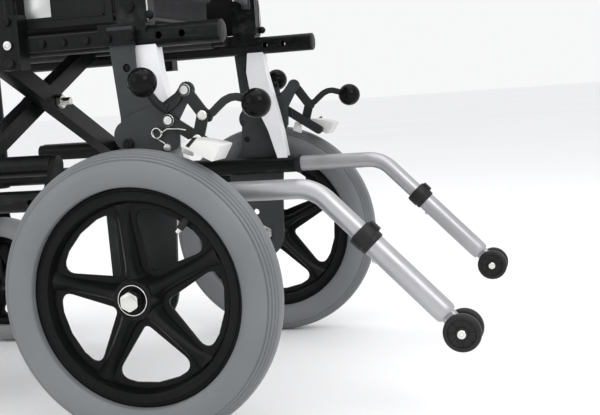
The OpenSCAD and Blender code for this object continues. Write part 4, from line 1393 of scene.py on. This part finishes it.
@dataclass
class Armrest:
    """An armrest: bar and post, stuffed pad and skirt guard."""

    length: float = 300.0
    pad_y: float = 196.6
    pad_width: float = 56.0
    pad_z: float = 700.1
    pad_height: float = 28.0
    guard_y: float = 209.2

    def pad(self, side: Side) -> None:
        """The vinyl pad, flat where it lies on the bar, with a seam round its lower edge."""
        soft = Soft(voxel=4.0, pressure=4.0)
        maker = Maker()
        inset = 3.0
        maker.block((inset, self.pad_y + inset, self.pad_z),
                    (self.length - inset, self.pad_y + self.pad_width - inset,
                     self.pad_z + self.pad_height - 4), 9.0, segments=5)
        piece = soft.start(f"{side}_arm_pad_shown", maker, side)
        soft.remesh(piece)
        base = self.pad_z * MM

        def cap(point: Vector) -> float:
            """Little at the bottom, most along the crown."""
            return 0.0005 + 0.0035 * limited((point.z - base) / 0.016, 0, 1)

        soft.swell(piece, cap)
        for vert in piece.data.vertices:
            vert.co.z = max(vert.co.z, base)
        soft.smooth(piece, 2)
        for vert in piece.data.vertices:
            height = (vert.co.z - base) * 1000
            tuck = 0.0012 * math.exp(-((height - 7.0) / 1.1) ** 2)
            vert.co -= Vector((vert.normal.x, vert.normal.y, 0)) * tuck
        soft.settle(piece, f"{side}_arm", VINYL, (f"{side}_arm_pad",))

    def guard_trim(self, side: Side) -> None:
        """The raised border and ribs on the skirt guard's outer face, and its screws."""
        maker = Maker()
        y = self.guard_y
        loop = [(36, 465), (254, 465), (276, 486), (276, 684), (36, 684)]
        for (x0, z0), (x1, z1) in zip(loop, loop[1:] + loop[:1]):
            run = Vector((x1 - x0, 0, z1 - z0))
            slope = Matrix.Rotation(-math.atan2(run.z, run.x), 4, "Y")
            place = Matrix.Translation((x0, y, z0)) @ slope
            maker.block((-1.5, 0, -1.5), (run.length + 1.5, 1.3, 1.5), 0.6, place)
        for x in range(66, 260, 32):
            maker.block((x, y, 500), (x + 3, y + 1.2, 655), 0.5)
        maker.finish(f"{side}_guard_border", f"{side}_arm", GUARD, Slot.GUARD, side)
        screws = Maker()
        for x in (60, 240):
            screws.cap((x, 209.4, 662), OUT, 6.0, 2.4)
            screws.cap((x, 213.4, 690), (0, -1, 0), 4.0, 1.4)
        screws.finish(f"{side}_guard_screws", f"{side}_arm", BRIGHT, Slot.STEEL, side)
        label = Maker()
        label.block((99, 210.4, 467), (131, 210.9, 489), 0.2)
        label.finish(f"{side}_guard_label", f"{side}_arm", LABEL, Slot.STEEL, side)

    def build(self, side: Side) -> None:
        """Makes one side's armrest."""
        soften(f"{side}_armrest", PAINT, 1.5, 3)
        soften(f"{side}_skirt_guard", GUARD, 0.9)
        self.pad(side)
        self.guard_trim(side)


@dataclass
class Footrest:
    """A swing-away hanger and its flip-up footplate."""

    plate_x: float = 634.0
    depth: float = 140.0
    hinge_y: float = 177.0
    hinge_z: float = 136.0
    width: float = 150.0
    swing_x: float = 458.0

    def tread(self, side: Side) -> None:
        """The footplate's moulded deck: rounded, ribbed, and open at its corners."""
        body = f"{side}_footrest"
        maker = Maker()
        y = self.hinge_y - 3
        low, high = self.hinge_z + 14, self.hinge_z + self.width
        holes = [(self.plate_x + 22 + 32 * i, high - 18, 5.5) for i in range(4)]
        maker.plate([(self.plate_x, low), (self.plate_x + self.depth, low),
                     (self.plate_x + self.depth, high), (self.plate_x, high)], y, 6, holes,
                    rounding=16, soft=1.4)
        for z in range(int(low) + 14, int(high) - 30, 9):
            maker.block((self.plate_x + 12, y - 1.6, z),
                        (self.plate_x + self.depth - 12, y + 0.5, z + 3.2), 0.9)
        for x in (self.plate_x + 5, self.plate_x + self.depth - 9):
            maker.block((x, y + 5, low + 14), (x + 4, y + 9, high - 16), 1.2)
        maker.block((self.plate_x + 6, y + 5, high - 7),
                    (self.plate_x + self.depth - 6, y + 9, high - 3), 1.2)
        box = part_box(f"{side}_footplate")
        ear_x = (box[0].x - AXLE_X) / MM
        for x in (ear_x, ear_x + 37):
            maker.rod((x, self.hinge_y, self.hinge_z), (x + 10, self.hinge_y, self.hinge_z), 9, 0.8,
                      40)
            maker.block((x, y, self.hinge_z), (x + 10, y + 6, self.hinge_z + 24), 1.0)
        maker.finish(f"{side}_footplate_shown", body, GUARD, Slot.GUARD, side,
                     (f"{side}_footplate",))

    def details(self, side: Side) -> None:
        """The swing release lever, the hanger's bolt heads and the swing hinge's caps."""
        body = f"{side}_legrest"
        lever = Maker()
        lever.tube([(470, 206, 420), (480, 213, 415), (488, 217, 404), (492, 218, 388),
                    (491, 217, 376)], lambda share: 4.6 - 1.2 * share, 16)
        lever.finish(f"{side}_swing_release", body, GLOSS, Slot.FRAME, side)
        bolts = Maker()
        foot = (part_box(f"{side}_hanger")[1].x - AXLE_X) / MM - 13
        for z in (self.hinge_z - 12, self.hinge_z + 4):
            bolts.socket_screw((foot, 209, z), OUT, 4.6, 2.8)
        bolts.cap((self.swing_x, RAIL_Y, 437.6), (0, 0, 1), 5.0, 0.4)
        bolts.finish(f"{side}_hanger_bolts", body, BRIGHT, Slot.STEEL, side)
        ends = Maker()
        ends.cap((self.swing_x, RAIL_Y, 446), (0, 0, 1), 8.5, 3.0, 32)
        ends.finish(f"{side}_hinge_caps", f"{side}_frame", ROLLER, Slot.FRAME, side)

    def build(self, side: Side) -> None:
        """Makes one side's footrest."""
        soften(f"{side}_hanger", PAINT, 0.8)
        self.tread(side)
        self.details(side)


@dataclass
class Brace:
    """The folding cross brace and its centre bolt."""

    rail_y: float = 172.0
    rail_z: float = 450.0

    def build(self) -> None:
        """Makes the two arms, the bolt and the seat rails' end plugs."""
        soften("brace_arm_a", PAINT, 1.0)
        soften("brace_arm_b", PAINT, 1.0)
        soften("brace_bolt", BRIGHT, 0.6)
        for name, body, sign in (("a", "brace_a", -1), ("b", "brace_b", 1)):
            plugs = Maker()
            for x, way in ((30, -1), (410, 1)):
                plugs.cap((x - way * 0.2, sign * self.rail_y, self.rail_z), (way, 0, 0), 10.9, 3.0,
                          32)
            plugs.finish(f"seat_rail_plugs_{name}", body, ROLLER, Slot.FRAME)


@dataclass
class Seat:
    """The sling over the seat rails, with its sewn loops, and the cushion on it."""

    rail_y: float = 172.0
    rail_z: float = 450.0
    rail_radius: float = 11.0
    cushion_low: float = 464.1
    cushion_high: float = 514.1
    front: float = 410.0
    rear: float = 34.0
    half_width: float = 174.0
    keep: float = 0.4

    def fold_with(self, piece: bpy.types.Object) -> None:
        """Gives a soft seat piece its own copy of its mesh."""
        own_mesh(piece)

    def cloth(self, name: str, path: Sequence[Flat], start: float, end: float, body: str,
              rests_on: str) -> bpy.types.Object:
        """A length of sling cloth with a path across the chair, drawn out along it.

        Args:
            name: the piece's name.
            path: the cloth's middle as (y, z).
            start: where it starts along the chair.
            end: where it ends.
            body: the CAD body that it rides on.
            rests_on: the CAD node that holds it; not used.

        Returns:
            The object.
        """
        maker = Maker()
        part = bmesh.new()
        verts = [part.verts.new((start, y, z)) for y, z in path]
        edges = [part.edges.new(pair) for pair in zip(verts, verts[1:])]
        steps = max(2, round((end - start) / 10))
        for _ in range(steps):
            moved, edges = draw_out(part, edges)
            bmesh.ops.translate(part, vec=((end - start) / steps, 0, 0), verts=moved)
        bmesh.ops.solidify(part, geom=part.faces[:], thickness=1.3)
        maker.take(part, Matrix.Identity(4))
        piece = maker.finish(name, body, SLING, Slot.SLING)
        return piece

    def sling(self) -> None:
        """The sling between the rails, its loops round them, and the stitching along them."""
        top = self.rail_z + self.rail_radius + 1.4
        count = 24
        path = []
        for i in range(count + 1):
            y = -self.rail_y + 2 * self.rail_y * i / count
            path.append((y, top - 2.6 * math.cos(y / self.rail_y * math.pi / 2) ** 0.7))
        sling = self.cloth("seat_sling_shown", path, 36, 406, "seat", "brace_arm_a")
        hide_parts("seat_sling")
        self.fold_with(sling)
        radius = self.rail_radius + 0.9
        for sign, body, node in ((-1, "brace_a", "brace_arm_a"), (1, "brace_b", "brace_arm_b")):
            loop = [(sign * self.rail_y + radius * math.cos(a) * sign,
                     self.rail_z + radius * math.sin(a))
                    for a in (math.radians(85 - 12.5 * k) for k in range(24))]
            for index, (start, end) in enumerate(((48, 206), (262, 402))):
                self.cloth(f"sling_loop_{node[-1]}_{index + 1}", loop, start, end, body, node)
        seams = Maker()
        for sign in (-1, 1):
            for x in range(40, 402, 5):
                seams.block((x, sign * 156 - 0.5, top - 0.2),
                            (x + 3.2, sign * 156 + 0.5, top + 0.55), 0)
        seams_piece = seams.finish("sling_stitches", "seat", PIPING, Slot.SLING)
        self.fold_with(seams_piece)

    def outline(self, z: float, inset: float, corner: float = 34.0) -> list[Point]:
        """The cushion's rounded outline at a height, as a closed path."""
        points = []
        x0, x1, y1 = self.rear + inset, self.front - inset, self.half_width - inset
        for cx, cy, begin in ((x1 - corner, y1 - corner, 0), (x0 + corner, y1 - corner, 90),
                              (x0 + corner, -y1 + corner, 180), (x1 - corner, -y1 + corner, 270)):
            for k in range(9):
                a = math.radians(begin + k * 11.25)
                points.append((cx + corner * math.cos(a), cy + corner * math.sin(a), z))
        full = []
        for a, b in zip(points, points[1:] + points[:1]):
            pieces = max(1, round(math.dist(a, b) / 24))
            full += [tuple(p + (q - p) * i / pieces for p, q in zip(a, b)) for i in range(pieces)]
        return full

    def cushion(self) -> None:
        """The seat cushion: boxed, crowned, flat below, with piping and two sewn channels."""
        soft = Soft(voxel=6.0, pressure=4.5)
        maker = Maker()
        part = bmesh.new()
        ring = [part.verts.new(p) for p in self.outline(self.cushion_low, 5.0)]
        part.faces.new(ring)
        thicken(part, (0, 0, self.cushion_high - self.cushion_low - 9))
        bmesh.ops.recalc_face_normals(part, faces=part.faces)
        maker.take(part, Matrix.Identity(4))
        piece = soft.start("seat_cushion_shown", maker)
        soft.remesh(piece)
        low, high = self.cushion_low * MM, (self.cushion_high - 9) * MM
        middle = AXLE_X + (self.front + self.rear) / 2 * MM

        def cap(point: Vector) -> float:
            """Little at the two seams, more on the boxing, most in the middle of the top."""
            share = (point.z - low) / (high - low)
            across = limited(1 - abs(point.y) / 0.165, 0, 1)
            along = limited(1 - abs(point.x - middle) / 0.184, 0, 1)
            if share > 0.9:
                return 0.0006 + 0.0115 * (across * along) ** 0.32
            if share < 0.1:
                return 0.0005
            return 0.0006 + 0.0042 * math.sin(math.pi * share)

        soft.swell(piece, cap)
        for vert in piece.data.vertices:
            vert.co.z = max(vert.co.z, low)
        soft.smooth(piece, 3)
        for vert in piece.data.vertices:
            if vert.co.z > low + 0.02:
                for line in (-0.058, 0.058):
                    depth = 0.0042 * math.exp(-((vert.co.y - line) / 0.0045) ** 2)
                    edge = limited((0.172 - abs(vert.co.x - middle)) / 0.03, 0, 1)
                    vert.co.z -= depth * edge * limited((vert.co.z - high + 0.004) / 0.006, 0, 1)
            vert.co.z = max(vert.co.z, low)
        soft.settle(piece, "seat", SEAT_CLOTH, ("seat_cushion",))
        self.fold_with(piece)
        piping = Maker()
        for z in (self.cushion_low + 3.2, self.cushion_high - 10.5):
            piping.tube(self.outline(z, 4.4), 2.1, 10, closed=True)
        cord = piping.finish("cushion_piping", "seat", PIPING, Slot.SEAT)
        self.fold_with(cord)

    def build(self) -> None:
        """Makes the seat."""
        self.sling()
        self.cushion()


@dataclass
class Back:
    """The back upholstery between the canes, with its sleeves round them."""

    half_width: float = 186.0
    low: float = 40.0
    high: float = 460.0
    thickness: float = 18.0
    sewn_y: float = 187.0
    keep: float = 0.4434

    def seams(self) -> list[float]:
        """How far up the canes each sewn line across the panel is."""
        return [self.low + 14, 118, 196, 274, 352, self.high - 14]

    def fold_with(self, piece: bpy.types.Object) -> None:
        """Gives a piece its own copy of its mesh."""
        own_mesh(piece)

    def panel(self) -> None:
        """The padded panel, with sewn channels across it."""
        soft = Soft(voxel=5.0, pressure=4.0)
        maker = Maker()
        half = self.thickness / 2
        maker.block((-half + 3.5, -self.half_width + 1, self.low),
                    (half - 3.5, self.half_width - 1, self.high), 5.0, on_cane(0), 4)
        piece = soft.start("back_upholstery_shown", maker)
        soft.remesh(piece)
        upright = Matrix.Translation((AXLE_X, 0, 0)) @ Matrix.Scale(MM, 4) @ on_cane(0)
        inverse = upright.inverted()
        outward = (upright.to_3x3() @ Vector((1, 0, 0))).normalized()
        seams = self.seams()

        def cap(point: Vector) -> float:
            """Nothing at the edges and seams, most between them."""
            local = inverse @ point
            near = min(abs(local.z - seam) for seam in seams)
            edge = limited((self.half_width - 10 - abs(local.y)) / 40, 0, 1)
            return 0.0004 + 0.0085 * limited(near / 36, 0, 1) ** 0.6 * edge ** 0.5

        soft.swell(piece, cap)
        soft.smooth(piece, 2)
        for vert in piece.data.vertices:
            local = inverse @ vert.co
            near = min(abs(local.z - seam) for seam in seams)
            fade = limited((self.half_width - 6 - abs(local.y)) / 8, 0, 1)
            pinch = 0.0022 * math.exp(-(near / 3.2) ** 2) * fade
            hollow = -0.004 * math.cos(local.y / self.half_width * math.pi / 2)
            vert.co += outward * (hollow - pinch * (1 if local.x > 0 else -1))
        soft.settle(piece, "left_frame", BACK_CLOTH, ("back_upholstery",))
        self.fold_with(piece)

    def stitches(self) -> None:
        """The thread along the panel's channels and hems."""
        maker = Maker()
        for seam in self.seams():
            for index in range(58):
                y = -172 + index * 6
                hollow = -4.0 * math.cos(y / self.half_width * math.pi / 2)
                for face in (1, -1):
                    x = hollow + face * 4.2
                    low, high = sorted((x, x + face * 0.7))
                    maker.block((low, y, seam - 0.5), (high, y + 3.8, seam + 0.5), 0, on_cane(0))
        piece = maker.finish("back_stitches", "left_frame", PIPING, Slot.BACK)
        self.fold_with(piece)

    def sleeve(self, side: Side) -> None:
        """The cloth sleeve that slides over a cane, with its hems."""
        maker = Maker()
        section = [(11.15, self.low - 2), (12.3, self.low - 2), (12.9, self.low),
                   (13.0, self.low + 8), (12.4, self.low + 10)]
        steps = 40
        for index in range(1, steps):
            z = self.low + 10 + (self.high - self.low - 20) * index / steps
            section.append((12.35 + 0.28 * math.sin(index * 1.9) * math.sin(index * 0.37), z))
        section += [(12.4, self.high - 10), (13.0, self.high - 8), (12.9, self.high),
                    (12.3, self.high + 2), (11.15, self.high + 2)]
        maker.lathe(section, on_cane(RAIL_Y), 40)
        piece = maker.finish(f"{side}_back_sleeve", f"{side}_frame", BACK_CLOTH, Slot.BACK, side)

    def build(self) -> None:
        """Makes the back."""
        self.panel()
        self.stitches()
        for side in Side:
            self.sleeve(side)


@dataclass
class Studio:
    """The floor, the lights and the camera."""

    camera_from: Point = (-463.5, 1264.1, 363.2)
    yaw: float = 14.37
    pitch: float = 5.18
    roll: float = -4.03
    lens: float = 61.81
    shift: Flat = (-0.0311, -0.0363)

    def camera(self) -> None:
        """The camera, behind the left rear wheel and low."""
        data = bpy.data.cameras.new("camera")
        data.lens = self.lens
        data.sensor_width = 36.0
        data.sensor_fit = "HORIZONTAL"
        data.shift_x, data.shift_y = self.shift
        data.clip_start, data.clip_end = 0.02, 200.0
        camera = bpy.data.objects.new("camera", data)
        yaw, pitch = math.radians(self.yaw), math.radians(self.pitch)
        ahead = Vector((math.sin(yaw) * math.cos(pitch), -math.cos(yaw) * math.cos(pitch),
                        -math.sin(pitch)))
        look = ahead.to_track_quat("-Z", "Y").to_matrix().to_4x4()
        turn = look @ Matrix.Rotation(math.radians(self.roll), 4, "Z")
        x, y, z = self.camera_from
        camera.matrix_world = Matrix.Translation((AXLE_X + x * MM, y * MM, z * MM)) @ turn
        bpy.context.scene.collection.objects.link(camera)
        bpy.context.scene.camera = camera

    def lamp(self, name: str, place: Sequence[float], aim: Sequence[float], size: float,
             power: float) -> None:
        """A soft square light.

        Args:
            name: its name.
            place: where it hangs.
            aim: what it points at.
            size: the length of its side.
            power: how bright it is, in watts.
        """
        data = bpy.data.lights.new(name, "AREA")
        data.size = size
        data.energy = power
        lamp = bpy.data.objects.new(name, data)
        way = Vector(aim) - Vector(place)
        turn = way.to_track_quat("-Z", "Y").to_matrix().to_4x4()
        lamp.matrix_world = Matrix.Translation(place) @ turn
        bpy.context.scene.collection.objects.link(lamp)

    def floor(self) -> None:
        """The pale floor, which reaches far behind the chair."""
        bm = bmesh.new()
        bmesh.ops.create_circle(bm, cap_ends=True, radius=40.0, segments=64)
        mesh = bpy.data.meshes.new("floor")
        bm.to_mesh(mesh)
        bm.free()
        floor = bpy.data.objects.new("floor", mesh)
        bpy.context.scene.collection.objects.link(floor)
        mesh.materials.append(Finish("floor_pale", (0.9, 0.9, 0.905), (0.92, 0.92, 0.925), 0.6,
                                     drift_scale=0.8, grain_scale=60.0, grain_depth=0.0).material())

    def sky(self) -> None:
        """Even pale light from all round."""
        world = bpy.data.worlds.new("studio")
        world.use_nodes = True
        back = world.node_tree.nodes["Background"]
        back.inputs["Color"].default_value = (0.95, 0.953, 0.96, 1.0)
        back.inputs["Strength"].default_value = 0.98
        bpy.context.scene.world = world
        bpy.context.scene.view_settings.view_transform = "Standard"

    def build(self) -> None:
        """Sets up the studio."""
        self.camera()
        self.floor()
        self.sky()
        self.lamp("top", (-0.4, 0.2, 2.6), (-0.1, 0.0, 0.3), 2.4, 30.0)
        self.lamp("key", (-2.0, 1.6, 1.9), (-0.2, 0.1, 0.3), 1.4, 22.0)
        self.lamp("fill", (1.6, 2.2, 1.4), (0.0, 0.1, 0.3), 1.6, 9.0)


def main() -> None:
    """Builds the chair's looks sub-assembly by sub-assembly."""
    logging.basicConfig(level=logging.INFO, format="%(message)s")
    Studio().build()
    for side in Side:
        for assembly in (SideFrame(), Wheels(), Brake(), AntiTipper(), Armrest(), Footrest()):
            assembly.build(side)
    Brace().build()
    Seat().build()
    Back().build()


if __name__ == "__main__":
    main()
